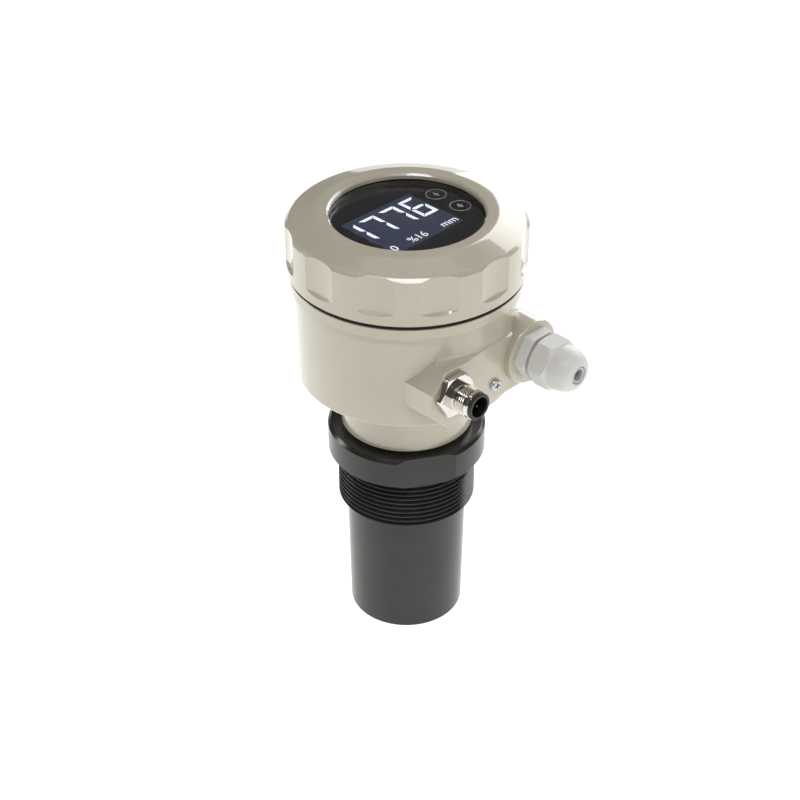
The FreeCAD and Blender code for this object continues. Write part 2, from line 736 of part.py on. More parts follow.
# Round plug connector: plated shell with a hexagon flange, black insert, four pins, face seal.
plug_shell = add_body("plug_shell")
revolve(plug_shell, "shell", [
    ("Sizes.plug_bore_radius", "-Sizes.plug_shank_length"),
    ("Sizes.plug_shank_radius - Sizes.plug_chamfer", "-Sizes.plug_shank_length"),
    ("Sizes.plug_shank_radius", "-Sizes.plug_shank_length + Sizes.plug_chamfer"),
    ("Sizes.plug_shank_radius", "0"),
    ("Sizes.plug_corner_radius", "0"),
    ("Sizes.plug_corner_radius", "Sizes.plug_flange - Sizes.plug_chamfer"),
    ("Sizes.plug_corner_radius - 2 * Sizes.plug_chamfer", "Sizes.plug_flange"),
    ("Sizes.plug_shoulder_radius", "Sizes.plug_flange"),
    ("Sizes.plug_shoulder_radius", "Levels.plug_shoulder_end"),
    ("Sizes.plug_thread_radius", "Levels.plug_shoulder_end"),
    ("Sizes.plug_thread_radius", "Levels.plug_end"),
    ("Sizes.plug_bore_radius", "Levels.plug_end"),
])
cut_hexagon(plug_shell, "flange", "Sizes.plug_flats", "Sizes.plug_corner_radius",
            "0", "Sizes.plug_flange", along_y=True)
plug_ring_half = "(Sizes.plug_ring_section + Sizes.ring_squeeze)"
groove(plug_shell, "seal_groove", box_corners(
    f"Sizes.plug_ring_radius - {plug_ring_half}", f"Sizes.plug_ring_radius + {plug_ring_half}",
    "0", "2 * Sizes.plug_ring_section"))

plug_insert = add_body("plug_insert")
revolve(plug_insert, "moulding", [
    ("0", "-Sizes.plug_shank_length"),
    ("Sizes.plug_bore_radius - Sizes.fill_clearance", "-Sizes.plug_shank_length"),
    ("Sizes.plug_bore_radius - Sizes.fill_clearance", "Levels.plug_end"),
    ("Sizes.insert_rim_radius", "Levels.plug_end"),
    ("Sizes.insert_rim_radius", "Levels.insert_end"),
    ("Sizes.insert_socket_radius", "Levels.insert_end"),
    ("Sizes.insert_socket_radius", "Levels.insert_end - Sizes.insert_socket_depth"),
    ("0", "Levels.insert_end - Sizes.insert_socket_depth"),
])
pin_holes = add_sketch(plug_insert, "pin_hole", "XY_Plane")
draw_circle(pin_holes, "Sizes.pin_circle * cos(45 deg)", "Sizes.pin_circle * sin(45 deg)",
            "Sizes.pin_radius + Sizes.pin_clearance")
pin_cut = pocket(plug_insert, "pin_bore", pin_holes)
pin_cut.Midplane = True
doc.recompute()
repeat_round(plug_insert, "pin_bores", pin_cut, pin_holes, "4")

pin_length = ("Levels.insert_end - Sizes.pin_below_rim + Sizes.plug_shank_length + Sizes.pin_tail")
pins = []
for number in range(4):
    angle = 45 + 90 * number
    pins.append(add_cylinder(
        f"plug_pin_{number + 1}", "Sizes.pin_radius", pin_length,
        f"Sizes.pin_circle * cos({angle} deg)", f"Sizes.pin_circle * sin({angle} deg)",
        "-Sizes.plug_shank_length - Sizes.pin_tail"))
plug_pins = group("plug_pins", pins)

plug_seal = add_ring("plug_seal", "Sizes.plug_ring_radius",
                     "Sizes.plug_ring_section - Sizes.ring_squeeze / 2")
for item in (plug_shell, plug_insert, plug_pins):
    face_outwards(item, "-Levels.entry_offset", "Levels.entry_face")
face_outwards(plug_seal, "-Levels.entry_offset", "Levels.entry_face + Sizes.plug_ring_section")

# Cable gland: fixed body with a tapered claw sleeve, rubber seal, domed nut, face seal.
gland_body = add_body("gland_body")
revolve(gland_body, "turning", [
    ("Sizes.gland_bore_radius", "-Sizes.gland_shank_length"),
    ("Sizes.gland_shank_radius - Sizes.gland_chamfer", "-Sizes.gland_shank_length"),
    ("Sizes.gland_shank_radius", "-Sizes.gland_shank_length + Sizes.gland_chamfer"),
    ("Sizes.gland_shank_radius", "0"),
    ("Sizes.gland_corner_radius", "0"),
    ("Sizes.gland_corner_radius", "Sizes.gland_base - Sizes.gland_chamfer"),
    ("Sizes.gland_corner_radius - 2 * Sizes.gland_chamfer", "Sizes.gland_base"),
    ("Sizes.gland_neck_radius", "Sizes.gland_base"),
    ("Sizes.gland_neck_radius", "Sizes.gland_neck_end"),
    ("Sizes.gland_claw_radius", "Sizes.gland_claw_end"),
    ("Sizes.seal_seat_radius", "Sizes.gland_claw_end"),
    ("Sizes.seal_seat_radius", "Sizes.seal_seat_start"),
    ("Sizes.gland_bore_radius", "Sizes.seal_seat_start"),
])
cut_hexagon(gland_body, "base", "Sizes.gland_flats", "Sizes.gland_corner_radius",
            "0", "Sizes.gland_base", along_y=True)
gland_ring_half = "(Sizes.gland_ring_section + Sizes.ring_squeeze)"
groove(gland_body, "seal_groove", box_corners(
    "Sizes.gland_shank_radius", f"Sizes.gland_shank_radius + 2 * {gland_ring_half}",
    "0", "2 * Sizes.gland_ring_section"))

gland_gasket = add_ring("gland_gasket", f"Sizes.gland_shank_radius + {gland_ring_half}",
                        "Sizes.gland_ring_section - Sizes.ring_squeeze / 2")

gland_seal = add_body("gland_seal")
revolve(gland_seal, "rubber", [
    ("Sizes.seal_bore_radius", "Sizes.seal_start"),
    ("Sizes.seal_radius", "Sizes.seal_start"),
    ("Sizes.seal_radius", "Sizes.seal_end"),
    ("Sizes.seal_nose_radius", "Sizes.seal_end"),
    ("Sizes.seal_nose_radius", "Sizes.seal_nose_end"),
    ("Sizes.seal_bore_radius", "Sizes.seal_nose_end"),
])

gland_nut = add_body("gland_nut")
revolve(gland_nut, "dome", [
    ("Sizes.nut_inner_radius", "Sizes.nut_start"),
    ("Sizes.gland_corner_radius - 2 * Sizes.gland_chamfer", "Sizes.nut_start"),
    ("Sizes.gland_corner_radius", "Sizes.nut_start + Sizes.gland_chamfer"),
    ("Sizes.gland_corner_radius", "Sizes.nut_straight_end"),
    ("Sizes.nut_front_radius", "Sizes.nut_end", "Sizes.nut_dome_radius", 1),
    ("Sizes.nut_mouth_radius", "Sizes.nut_end"),
    ("Sizes.nut_mouth_radius", "Sizes.nut_seat"),
    ("Sizes.nut_seat_radius", "Sizes.nut_seat"),
    ("Sizes.nut_inner_radius", "Sizes.nut_inner_end"),
])
cut_hexagon(gland_nut, "grip", "Sizes.gland_flats", "Sizes.gland_corner_radius",
            "Sizes.nut_start", "Sizes.nut_end", along_y=True)
for item in (gland_body, gland_seal, gland_nut):
    face_outwards(item, "Levels.entry_offset", "Levels.boss_face")
face_outwards(gland_gasket, "Levels.entry_offset", "Levels.boss_face + Sizes.gland_ring_section")

# Ground screw between the entries.
ground_screw = add_body("ground_screw")
revolve(ground_screw, "pan_head", [
    ("0", "-Sizes.ground_shank_length"),
    ("Sizes.ground_shank_radius", "-Sizes.ground_shank_length"),
    ("Sizes.ground_shank_radius", "0"),
    ("Sizes.ground_head_radius", "0"),
    ("Sizes.ground_head_radius", "Sizes.ground_head_height / 2"),
    ("Sizes.ground_crown_radius", "Sizes.ground_head_height", "Sizes.ground_crown_round", 1),
    ("0", "Sizes.ground_head_height"),
])
face_outwards(ground_screw, "Sizes.ground_offset", "Levels.entry_face")
ground_screw.setExpression("Placement.Base.z", "Levels.body_bottom + Sizes.ground_height")

# Cover: turned cup with a window lip, then twelve grip scallops, large vertical rounds with a sloped foot.
cover = add_body("cover")
revolve(cover, "cup", [
    ("Levels.cover_relief_radius", "Levels.cover_bottom"),
    ("Sizes.cover_radius - Sizes.cover_bottom_chamfer", "Levels.cover_bottom"),
    ("Sizes.cover_radius", "Levels.cover_bottom + Sizes.cover_bottom_chamfer"),
    ("Sizes.cover_radius", "Levels.cover_top - Sizes.cover_edge_drop"),
    ("Levels.cover_shoulder_radius", "Levels.cover_top - Sizes.cover_shoulder_drop"),
    ("Levels.cover_land_radius", "Levels.cover_top"),
    ("Levels.window_radius + Sizes.window_chamfer", "Levels.cover_top"),
    ("Levels.window_radius", "Levels.cover_top - Sizes.window_chamfer"),
    ("Levels.window_radius", "Levels.lip_bottom"),
    ("Levels.glass_seat_radius", "Levels.lip_bottom"),
    ("Levels.glass_seat_radius", "Levels.ring_seat_top"),
    ("Levels.ring_seat_radius", "Levels.ring_seat_top"),
    ("Levels.ring_seat_radius", "Levels.boss_bottom"),
    ("Levels.cover_boss_radius", "Levels.boss_bottom"),
    ("Levels.cover_boss_radius", "Levels.cover_roof"),
    ("Levels.cover_bore", "Levels.cover_roof"),
    ("Levels.cover_bore", "Levels.cover_bottom + Sizes.cover_relief_height"),
    ("Levels.cover_relief_radius", "Levels.cover_bottom + Sizes.cover_relief_height"),
])
scallop_axis = "Sizes.cover_radius - Sizes.scallop_depth + Sizes.scallop_radius"
scallop_low = "Levels.cover_bottom + Sizes.scallop_start"
scallop_high = "Levels.cover_top + Sizes.cut_overrun"
scallop = add_sketch(cover, "scallop", "XZ_Plane")
draw_axis(scallop, scallop_axis, scallop_low, scallop_high)
draw_outline(scallop, [
    (scallop_axis, scallop_low),
    (scallop_axis, scallop_high),
    ("Sizes.cover_radius - Sizes.scallop_depth", scallop_high),
    ("Sizes.cover_radius - Sizes.scallop_depth", f"{scallop_low} + Sizes.scallop_depth"),
    ("Sizes.cover_radius", scallop_low),
])
scallop_cut = turn_away(cover, "scallop_cut", scallop, "Axis0")
repeat_round(cover, "scallops", scallop_cut, scallop, "Sizes.scallop_count", "V_Axis")

cover_seal = add_ring("cover_seal", "Levels.mouth_radius + Sizes.cover_ring_section + Sizes.ring_squeeze",
                      "Sizes.cover_ring_section")
cover_seal.setExpression("Placement.Base.z", "Levels.rim_top + Sizes.cover_ring_section")

# Window: glass between a flat gasket and a threaded ring with spanner holes.
window_gasket = add_body("window_gasket")
revolve(window_gasket, "strip", box_corners(
    "Levels.gasket_inner_radius", "Levels.glass_radius", "Levels.glass_top", "Levels.lip_bottom"))
window_glass = add_cylinder("window_glass", "Levels.glass_radius", "Sizes.glass_thickness",
                            "0", "0", "Levels.glass_bottom")
retaining_ring = add_body("retaining_ring")
revolve(retaining_ring, "turning", box_corners(
    "Levels.ring_inner_radius", "Levels.ring_outer_radius",
    "Levels.glass_bottom - Sizes.ring_thickness", "Levels.glass_bottom"))
spanner = add_sketch(retaining_ring, "spanner_hole", "XY_Plane",
                     "Levels.glass_bottom - Sizes.ring_thickness")
draw_circle(spanner, "Levels.ring_hole_circle", "0", "Sizes.ring_hole_radius")
spanner_cut = pocket(retaining_ring, "spanner_cut", spanner, "Sizes.ring_hole_depth", reverse=True)
repeat_round(retaining_ring, "spanner_holes", spanner_cut, spanner, "Sizes.ring_hole_count")


# Boards: discs with screw holes.
def add_board(name, radius, low, places, hole_radius):
    body = add_body(name)
    outline = add_sketch(body, "outline", "XY_Plane", low)
    draw_circle(outline, "0", "0", radius)
    for x, y in places:
        draw_circle(outline, x, y, hole_radius)
    pad(body, "plate", outline, "Sizes.board_thickness")
    return body


post_places = [(f"Levels.post_circle * cos({angle} deg)", f"Levels.post_circle * sin({angle} deg)")
               for angle in post_angles]
standoff_spots = [(f"{x} * Levels.bezel_radius", f"{y} * Levels.bezel_radius") for x, y in standoff_places]
main_board = add_board("main_board", "Levels.board_radius", "Levels.main_board_bottom",
                       post_places + standoff_spots, "Sizes.board_screw_radius + Sizes.screw_clearance")
display_board = add_board("display_board", "Levels.bezel_radius", "Levels.display_board_height",
                          standoff_spots, "Sizes.display_screw_radius + Sizes.screw_clearance")


# Screws: a shank with a round head that sits on the given level.
def add_screws(name, places, level, shank_radius, shank_length, head_radius, head_height):
    screws = []
    for number, (x, y) in enumerate(places, start=1):
        head = add_cylinder(f"{name}_head_{number}", head_radius, head_height, x, y, level)
        shank = add_cylinder(f"{name}_shank_{number}", shank_radius, shank_length,
                             x, y, f"{level} - {shank_length}")
        screws.append(join(f"{name}_{number}", [shank, head]))
    return group(name, screws)


board_screws = add_screws("board_screws", post_places, "Levels.main_board_top", "Sizes.board_screw_radius",
                          "Sizes.board_screw_length", "Sizes.board_head_radius", "Sizes.board_head_height")
display_screws = add_screws("display_screws", standoff_spots, "Levels.display_board_top",
                            "Sizes.display_screw_radius", "Sizes.display_screw_length",
                            "Sizes.display_head_radius", "Sizes.display_head_height")

# Standoffs: hexagon pillars with a stud through the main board and a tapped top.
pillars = []
for number, (x, y) in enumerate(standoff_spots, start=1):
    pillar = doc.addObject("Part::Prism", f"pillar_{number}")
    pillar.Polygon = 6
    pillar.setExpression("Circumradius", "Sizes.standoff_flats / sqrt(3)")
    pillar.setExpression("Height", "Levels.display_board_height - Levels.main_board_top")
    pillar.setExpression("Placement.Base.x", x)
    pillar.setExpression("Placement.Base.y", y)
    pillar.setExpression("Placement.Base.z", "Levels.main_board_top")
    stud = add_cylinder(f"pillar_stud_{number}", "Sizes.standoff_stud_radius", "Sizes.standoff_stud_length",
                        x, y, "Levels.main_board_top - Sizes.standoff_stud_length")
    bore = add_cylinder(f"pillar_bore_{number}", "Sizes.standoff_bore_radius", "Sizes.standoff_bore_depth",
                        x, y, "Levels.display_board_height - Sizes.standoff_bore_depth")
    tapped = doc.addObject("Part::Cut", f"standoff_{number}")
    tapped.Base = join(f"pillar_with_stud_{number}", [pillar, stud])
    tapped.Tool = bore
    pillars.append(tapped)
standoffs = group("standoffs", pillars)

# Terminal block: stepped moulding with four wire mouths towards -Y and four clamping screws.
terminal_block = add_body("terminal_block")
profile = add_sketch(terminal_block, "profile", "YZ_Plane", "-Sizes.terminal_width / 2")
front = "Sizes.terminal_offset - Sizes.terminal_depth / 2"
back = "Sizes.terminal_offset + Sizes.terminal_depth / 2"
draw_outline(profile, [
    (front, "Levels.main_board_top"),
    (back, "Levels.main_board_top"),
    (back, "Levels.main_board_top + Sizes.terminal_height"),
    (f"{front} + Sizes.terminal_slope", "Levels.main_board_top + Sizes.terminal_height"),
    (front, "Levels.main_board_top + Sizes.terminal_step"),
])
pad(terminal_block, "moulding", profile, "Sizes.terminal_width")
terminal_rows = [f"{number - 1.5} * Sizes.terminal_pitch" for number in range(4)]
mouths = add_sketch(terminal_block, "mouths", "XZ_Plane", f"-({front})")
for x in terminal_rows:
    draw_circle(mouths, x, "Levels.main_board_top + Sizes.terminal_mouth_height",
                "Sizes.terminal_mouth_radius")
pocket(terminal_block, "wire_mouths", mouths, "Sizes.terminal_mouth_depth")
screw_y = "Sizes.terminal_offset + Sizes.terminal_slope / 2"
terminal_top = "Levels.main_board_top + Sizes.terminal_height"
wells = add_sketch(terminal_block, "wells", "XY_Plane", terminal_top)
for x in terminal_rows:
    draw_circle(wells, x, screw_y, "Sizes.terminal_screw_radius + Sizes.screw_clearance")
pocket(terminal_block, "screw_wells", wells, "Sizes.terminal_screw_depth + Sizes.terminal_screw_sink")
terminal_screws = group("terminal_screws", [
    add_cylinder(f"terminal_screw_{number}", "Sizes.terminal_screw_radius", "Sizes.terminal_screw_depth",
                 x, screw_y, f"{terminal_top} - Sizes.terminal_screw_depth - Sizes.terminal_screw_sink")
    for number, x in enumerate(terminal_rows, start=1)])

# Display: bezel cap with a straight upper edge, screen module, two keys over two switches.
bezel = add_body("display_bezel")
cap = add_sketch(bezel, "cap", "XY_Plane", "Levels.display_board_top")


def draw_cut_disc(sketch, radius, chord):
    half = f"sqrt(({radius}) ^ 2 - ({chord}) ^ 2)"
    right = FreeCAD.Vector(measure(half), measure(chord), 0)
    left = FreeCAD.Vector(-right.x, right.y, 0)
    bottom = FreeCAD.Vector(0, -measure(radius), 0)
    arc = sketch.addGeometry(Part.Arc(left, bottom, right), False)
    line = sketch.addGeometry(Part.LineSegment(right, left), False)
    sketch.addConstraint(Sketcher.Constraint("Coincident", arc, 2, line, 1))
    sketch.addConstraint(Sketcher.Constraint("Coincident", arc, 1, line, 2))
    sketch.addConstraint(Sketcher.Constraint("Coincident", arc, 3, -1, 1))
    sketch.addConstraint(Sketcher.Constraint("Horizontal", line))
    bind_radius(sketch, arc, radius)
    bind(sketch, "DistanceY", line, 1, chord)


draw_cut_disc(cap, "Levels.bezel_radius", "Levels.bezel_chord")
pad(bezel, "block", cap, "Levels.bezel_top - Levels.display_board_top")
hollow = add_sketch(bezel, "hollow", "XY_Plane", "Levels.display_board_top")
draw_cut_disc(hollow, "Levels.bezel_radius - Sizes.bezel_wall", "Levels.bezel_chord - Sizes.bezel_wall")
pocket(bezel, "hollow_cut", hollow, "Levels.bezel_bottom - Levels.display_board_top", reverse=True)
screen_half_x = "Levels.screen_width / 2 + Sizes.screen_clearance"
screen_half_y = "Levels.screen_height / 2 + Sizes.screen_clearance"
openings = add_sketch(bezel, "openings", "XY_Plane", "Levels.bezel_bottom")
draw_outline(openings, box_corners(
    f"Levels.screen_offset - ({screen_half_x})", f"Levels.screen_offset + {screen_half_x}",
    f"-({screen_half_y})", screen_half_y))
for side in (1, -1):
    draw_circle(openings, "Levels.key_offset", f"{side} * Levels.key_pitch / 2",
                "Levels.key_radius + Sizes.key_clearance")
pocket(bezel, "openings_cut", openings, "Sizes.bezel_thickness", reverse=True)

screen_top = "Levels.bezel_top - Sizes.screen_sink"
screen = add_box("lcd_module", "Levels.screen_width", "Levels.screen_height",
                 f"{screen_top} - Levels.display_board_top",
                 "Levels.screen_offset", "0", "Levels.display_board_top")

keys = {}
for side, name in ((1, "key_up"), (-1, "key_down")):
    key = add_body(name)
    revolve(key, "button", [
        ("0", "Levels.key_stem_bottom"),
        ("Sizes.key_stem_radius", "Levels.key_stem_bottom"),
        ("Sizes.key_stem_radius", "Levels.key_flange_bottom"),
        ("Levels.key_radius + Sizes.key_flange", "Levels.key_flange_bottom"),
        ("Levels.key_radius + Sizes.key_flange", "Levels.key_flange_top"),
        ("Levels.key_radius", "Levels.key_flange_top"),
        ("Levels.key_radius", "Levels.key_top"),
        ("0", "Levels.key_top"),
    ])
    key.setExpression("Placement.Base.x", "Levels.key_offset")
    key.setExpression("Placement.Base.y", f"{side} * Levels.key_pitch / 2")
    keys[name] = key

switches = []
for side, name in ((1, "upper"), (-1, "lower")):
    y = f"{side} * Levels.key_pitch / 2"
    case = add_box(f"switch_case_{name}", "Sizes.switch_width", "Sizes.switch_width", "Sizes.switch_height",
                   "Levels.key_offset", y, "Levels.display_board_top")
    button = add_cylinder(f"switch_button_{name}", "Sizes.switch_button_radius",
                          "Levels.key_stem_bottom - Sizes.switch_gap - Levels.display_board_top",
                          "Levels.key_offset", y, "Levels.display_board_top")
    switches.append(join(f"switch_{name}", [case, button]))
key_switches = group("key_switches", switches)

doc.recompute()

nodes = {
    "sensor_body": sensor,
    "neck_seal": neck_seal,
    "matching_layer": matching_layer,
    "piezo_disc": piezo_disc,
    "backing_pad": backing_pad,
    "potting": potting,
    "sensor_lead": sensor_lead,
    "lead_plug": lead_plug,
    "housing": housing,
    "plug_shell": plug_shell,
    "plug_insert": plug_insert,
    "plug_pins": plug_pins,
    "plug_seal": plug_seal,
    "gland_body": gland_body,
    "gland_gasket": gland_gasket,
    "gland_seal": gland_seal,
    "gland_nut": gland_nut,
    "ground_screw": ground_screw,
    "cover": cover,
    "cover_seal": cover_seal,
    "window_gasket": window_gasket,
    "window_glass": window_glass,
    "retaining_ring": retaining_ring,
    "main_board": main_board,
    "board_screws": board_screws,
    "standoffs": standoffs,
    "terminal_block": terminal_block,
    "terminal_screws": terminal_screws,
    "display_board": display_board,
    "display_screws": display_screws,
    "display_bezel": bezel,
    "lcd_module": screen,
    "key_switches": key_switches,
    "key_up": keys["key_up"],
    "key_down": keys["key_down"],
}

for item in doc.Objects:
    if "Invalid" in item.State or "Error" in item.State:
        raise RuntimeError(f"{item.Label} did not compute: {item.State}")

os.makedirs("parts", exist_ok=True)
for name, item in nodes.items():
    item.Label = name
    if item.Shape.isNull() or not item.Shape.isValid():
        raise RuntimeError(f"{name} has no valid shape")
    item.Shape.exportStep(f"parts/{name}.step")
    print(f"{name}: {len(item.Shape.Solids)} solid(s), {item.Shape.Volume:.0f} cubic mm")
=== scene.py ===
import math
import bpy
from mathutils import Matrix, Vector


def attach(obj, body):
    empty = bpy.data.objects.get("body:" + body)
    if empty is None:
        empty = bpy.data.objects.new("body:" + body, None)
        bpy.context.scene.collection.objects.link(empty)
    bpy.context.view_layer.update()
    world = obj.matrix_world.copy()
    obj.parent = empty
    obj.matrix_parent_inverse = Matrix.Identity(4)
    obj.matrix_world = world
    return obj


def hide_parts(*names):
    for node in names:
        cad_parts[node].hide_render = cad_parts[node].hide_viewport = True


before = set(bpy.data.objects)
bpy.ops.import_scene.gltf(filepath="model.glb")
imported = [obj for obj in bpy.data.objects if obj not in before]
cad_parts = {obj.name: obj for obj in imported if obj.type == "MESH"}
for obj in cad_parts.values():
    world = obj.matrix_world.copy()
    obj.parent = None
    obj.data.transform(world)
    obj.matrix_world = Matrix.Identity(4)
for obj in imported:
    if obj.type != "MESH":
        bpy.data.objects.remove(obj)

mm = 0.001
fullTurn = 2 * math.pi
weldGap = 0.001 * mm
toothShares = (("root", 0.14), ("crest", 0.44), ("crest", 0.58), ("root", 0.88))   # thread tooth, shares of the pitch
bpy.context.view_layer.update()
print("frame loaded")


# selecting

def clearSelection():
    if bpy.context.object and bpy.context.object.mode != "OBJECT":
        bpy.ops.object.mode_set(mode="OBJECT")
    bpy.ops.object.select_all(action="DESELECT")


def pickOnly(piece):
    clearSelection()
    piece.select_set(True)
    bpy.context.view_layer.objects.active = piece


def editAll(piece, mode="VERT"):
    pickOnly(piece)
    bpy.ops.object.mode_set(mode="EDIT")
    bpy.ops.mesh.select_mode(type=mode)
    bpy.ops.mesh.select_all(action="SELECT")


def leaveEdit():
    bpy.ops.object.mode_set(mode="OBJECT")


# selects the edges whose two ends pass the rule, and stays in edit mode
def editEdges(piece, rule):
    editAll(piece, "EDGE")
    bpy.ops.mesh.select_all(action="DESELECT")
    leaveEdit()
    spots = piece.data.vertices
    for edge in piece.data.edges:
        edge.select = rule(spots[edge.vertices[0]].co, spots[edge.vertices[1]].co)
    bpy.ops.object.mode_set(mode="EDIT")


# modelling helpers, sizes in millimetres

# draws radius/height corners as a wire by extruding one point
def drawWire(name, corners, closed=True):
    clearSelection()
    bpy.ops.mesh.primitive_plane_add(size=mm)
    piece = bpy.context.object
    piece.name = name
    bpy.ops.object.mode_set(mode="EDIT")
    bpy.ops.mesh.select_mode(type="VERT")
    bpy.ops.mesh.select_all(action="SELECT")
    bpy.ops.mesh.merge(type="CENTER")
    spots = [Vector((radius * mm, 0, height * mm)) for radius, height in corners]
    bpy.ops.transform.translate(value=spots[0])
    for before, after in zip(spots, spots[1:] + (spots[:1] if closed else [])):
        bpy.ops.mesh.extrude_region_move(TRANSFORM_OT_translate={"value": after - before})
    return piece


def cleanMesh():
    bpy.ops.mesh.select_all(action="SELECT")
    bpy.ops.mesh.remove_doubles(threshold=weldGap)
    bpy.ops.mesh.normals_make_consistent(inside=False)


# turns a wire round the Z axis, as on a lathe
def turnProfile(name, corners, steps=160, closed=True):
    piece = drawWire(name, corners, closed)
    bpy.ops.mesh.select_all(action="SELECT")
    bpy.ops.mesh.remove_doubles(threshold=weldGap)
    bpy.ops.mesh.select_all(action="SELECT")
    bpy.ops.mesh.spin(steps=steps, angle=fullTurn, center=(0, 0, 0), axis=(0, 0, 1))
    cleanMesh()
    leaveEdit()
    return piece


def arcCorners(centre, radius, startDeg, endDeg, count):
    spots = []
    for number in range(count + 1):
        angle = math.radians(startDeg + (endDeg - startDeg) * number / count)
        spots.append((centre[0] + radius * math.cos(angle), centre[1] + radius * math.sin(angle)))
    return spots


# a corner between two others, eased into a short curve
def softCorner(before, corner, after, reach, count=5):
    spots = []
    ends = []
    for other in (before, after):
        gap = math.dist(corner, other)
        ends.append([corner[axis] + (other[axis] - corner[axis]) * reach / gap for axis in (0, 1)])
    for number in range(count + 1):
        share = number / count
        spots.append(tuple(ends[0][axis] * (1 - share) ** 2 + 2 * corner[axis] * share * (1 - share)
                           + ends[1][axis] * share ** 2 for axis in (0, 1)))
    return spots


# keeps what lies behind a plane and closes the cut
def sliceOff(piece, spot, normal):
    editAll(piece)
    bpy.ops.mesh.bisect(plane_co=Vector(spot) * mm, plane_no=normal, use_fill=True, clear_outer=True)
    cleanMesh()
    leaveEdit()


def cutHexagon(piece, flats, startDeg=0):
    for number in range(6):
        angle = math.radians(startDeg + 60 * number)
        normal = (math.cos(angle), math.sin(angle), 0)
        sliceOff(piece, (normal[0] * flats / 2, normal[1] * flats / 2, 0), normal)


# a right-hand thread: one tooth wound up the Z axis, trimmed flat at both ends
def windThread(name, root, crest, pitch, low, high, steps=96):
    sides = {"root": root, "crest": crest}
    tooth = [(root, 0), *((sides[side], pitch * share) for side, share in toothShares), (root, pitch)]
    start = low - 2 * pitch   # begins below the thread, so that the trimmed end is full
    piece = drawWire(name, [(radius, start + height) for radius, height in tooth], closed=False)
    leaveEdit()
    winding = piece.modifiers.new("winding", "SCREW")
    winding.screw_offset = pitch * mm
    winding.iterations = math.ceil((high - low) / pitch) + 4
    winding.steps = winding.render_steps = steps
    winding.use_merge_vertices = True
    winding.merge_threshold = weldGap
    applyModifiers(piece)
    editAll(piece)
    cleanMesh()
    leaveEdit()
    sliceOff(piece, (0, 0, low), (0, 0, -1))
    sliceOff(piece, (0, 0, high), (0, 0, 1))
    return piece


def applyModifiers(piece):
    pickOnly(piece)
    for modifier in list(piece.modifiers):
        bpy.ops.object.modifier_apply(modifier=modifier.name)


def breakEdges(piece, width, angleDeg=25, segments=2):
    bevel = piece.modifiers.new("edges", "BEVEL")
    bevel.width = width * mm
    bevel.segments = segments
    bevel.limit_method = "ANGLE"
    bevel.angle_limit = math.radians(angleDeg)
    applyModifiers(piece)


def subtract(piece, cutter):
    cut = piece.modifiers.new("cut", "BOOLEAN")
    cut.operation = "DIFFERENCE"
    cut.solver = "EXACT"
    cut.object = cutter
    applyModifiers(piece)
    bpy.data.objects.remove(cutter)


def joinPieces(name, pieces):
    clearSelection()
    for piece in pieces:
        piece.select_set(True)
    bpy.context.view_layer.objects.active = pieces[0]
    bpy.ops.object.join()
    pieces[0].name = name
    return pieces[0]


def copyPiece(piece, name):
    twin = piece.copy()
    twin.data = piece.data.copy()
    twin.name = name
    bpy.context.scene.collection.objects.link(twin)
    return twin


def placePiece(piece, location, turn=(0, 0, 0)):
    pickOnly(piece)
    piece.location = Vector(location) * mm
    piece.rotation_euler = [math.radians(angle) for angle in turn]
    bpy.ops.object.transform_apply(location=True, rotation=True, scale=True)
    return piece


# a plain block to start from, its centre and sides in millimetres
def addBlock(centre, sides):
    clearSelection()
    bpy.ops.mesh.primitive_cube_add(size=mm, location=Vector(centre) * mm, scale=sides)
    bpy.ops.object.transform_apply(location=True, rotation=True, scale=True)
    return bpy.context.object


def smoothPiece(piece, angleDeg=30):
    pickOnly(piece)
    bpy.ops.object.shade_smooth_by_angle(angle=math.radians(angleDeg))
    evenOut = piece.modifiers.new("even normals", "WEIGHTED_NORMAL")
    evenOut.keep_sharp = True
    applyModifiers(piece)
    return piece


# a merged copy of a CAD node, for smooth shading and broken edges where it turns by more than 40 degrees
def copyNode(node, name, edge=0, smoothDeg=30):
    piece = bpy.data.objects.new(name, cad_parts[node].data.copy())
    bpy.context.scene.collection.objects.link(piece)
    piece.data.materials.clear()
    editAll(piece)
    bpy.ops.mesh.remove_doubles(threshold=2 * weldGap)
    bpy.ops.mesh.select_all(action="SELECT")
    bpy.ops.mesh.dissolve_limited(angle_limit=math.radians(0.5))
    leaveEdit()
    if edge:
        breakEdges(piece, edge, 40)
    smoothPiece(piece, smoothDeg)
    return piece


def finishPiece(piece, body, material, nodes=()):
    piece.data.materials.clear()
    piece.data.materials.append(material)
    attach(piece, body)
    if nodes:
        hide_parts(*nodes)
    return piece


# materials

def linearColour(hexText):
    values = []
    for start in (0, 2, 4):
        level = int(hexText[start:start + 2], 16) / 255
        values.append(level / 12.92 if level <= 0.04045 else ((level + 0.055) / 1.055) ** 2.4)
    return (*values, 1.0)


def addNode(tree, kind, values=(), links=(), **settings):
    node = tree.nodes.new(kind)
    for name, value in settings.items():
        setattr(node, name, value)
    for name, value in dict(values).items():
        node.inputs[name].default_value = value
    for name, source in dict(links).items():
        tree.links.new(source, node.inputs[name])
    return node


# starts a material: the shader, its output and the piece's own coordinates in metres
def startMaterial(name, **sockets):
    material = bpy.data.materials.new(name)
    material.use_nodes = True
    tree = material.node_tree
    tree.nodes.clear()
    shader = addNode(tree, "ShaderNodeBsdfPrincipled", sockets)
    addNode(tree, "ShaderNodeOutputMaterial", links={"Surface": shader.outputs["BSDF"]})
    place = addNode(tree, "ShaderNodeTexCoord").outputs["Object"]
    return material, tree, shader, place


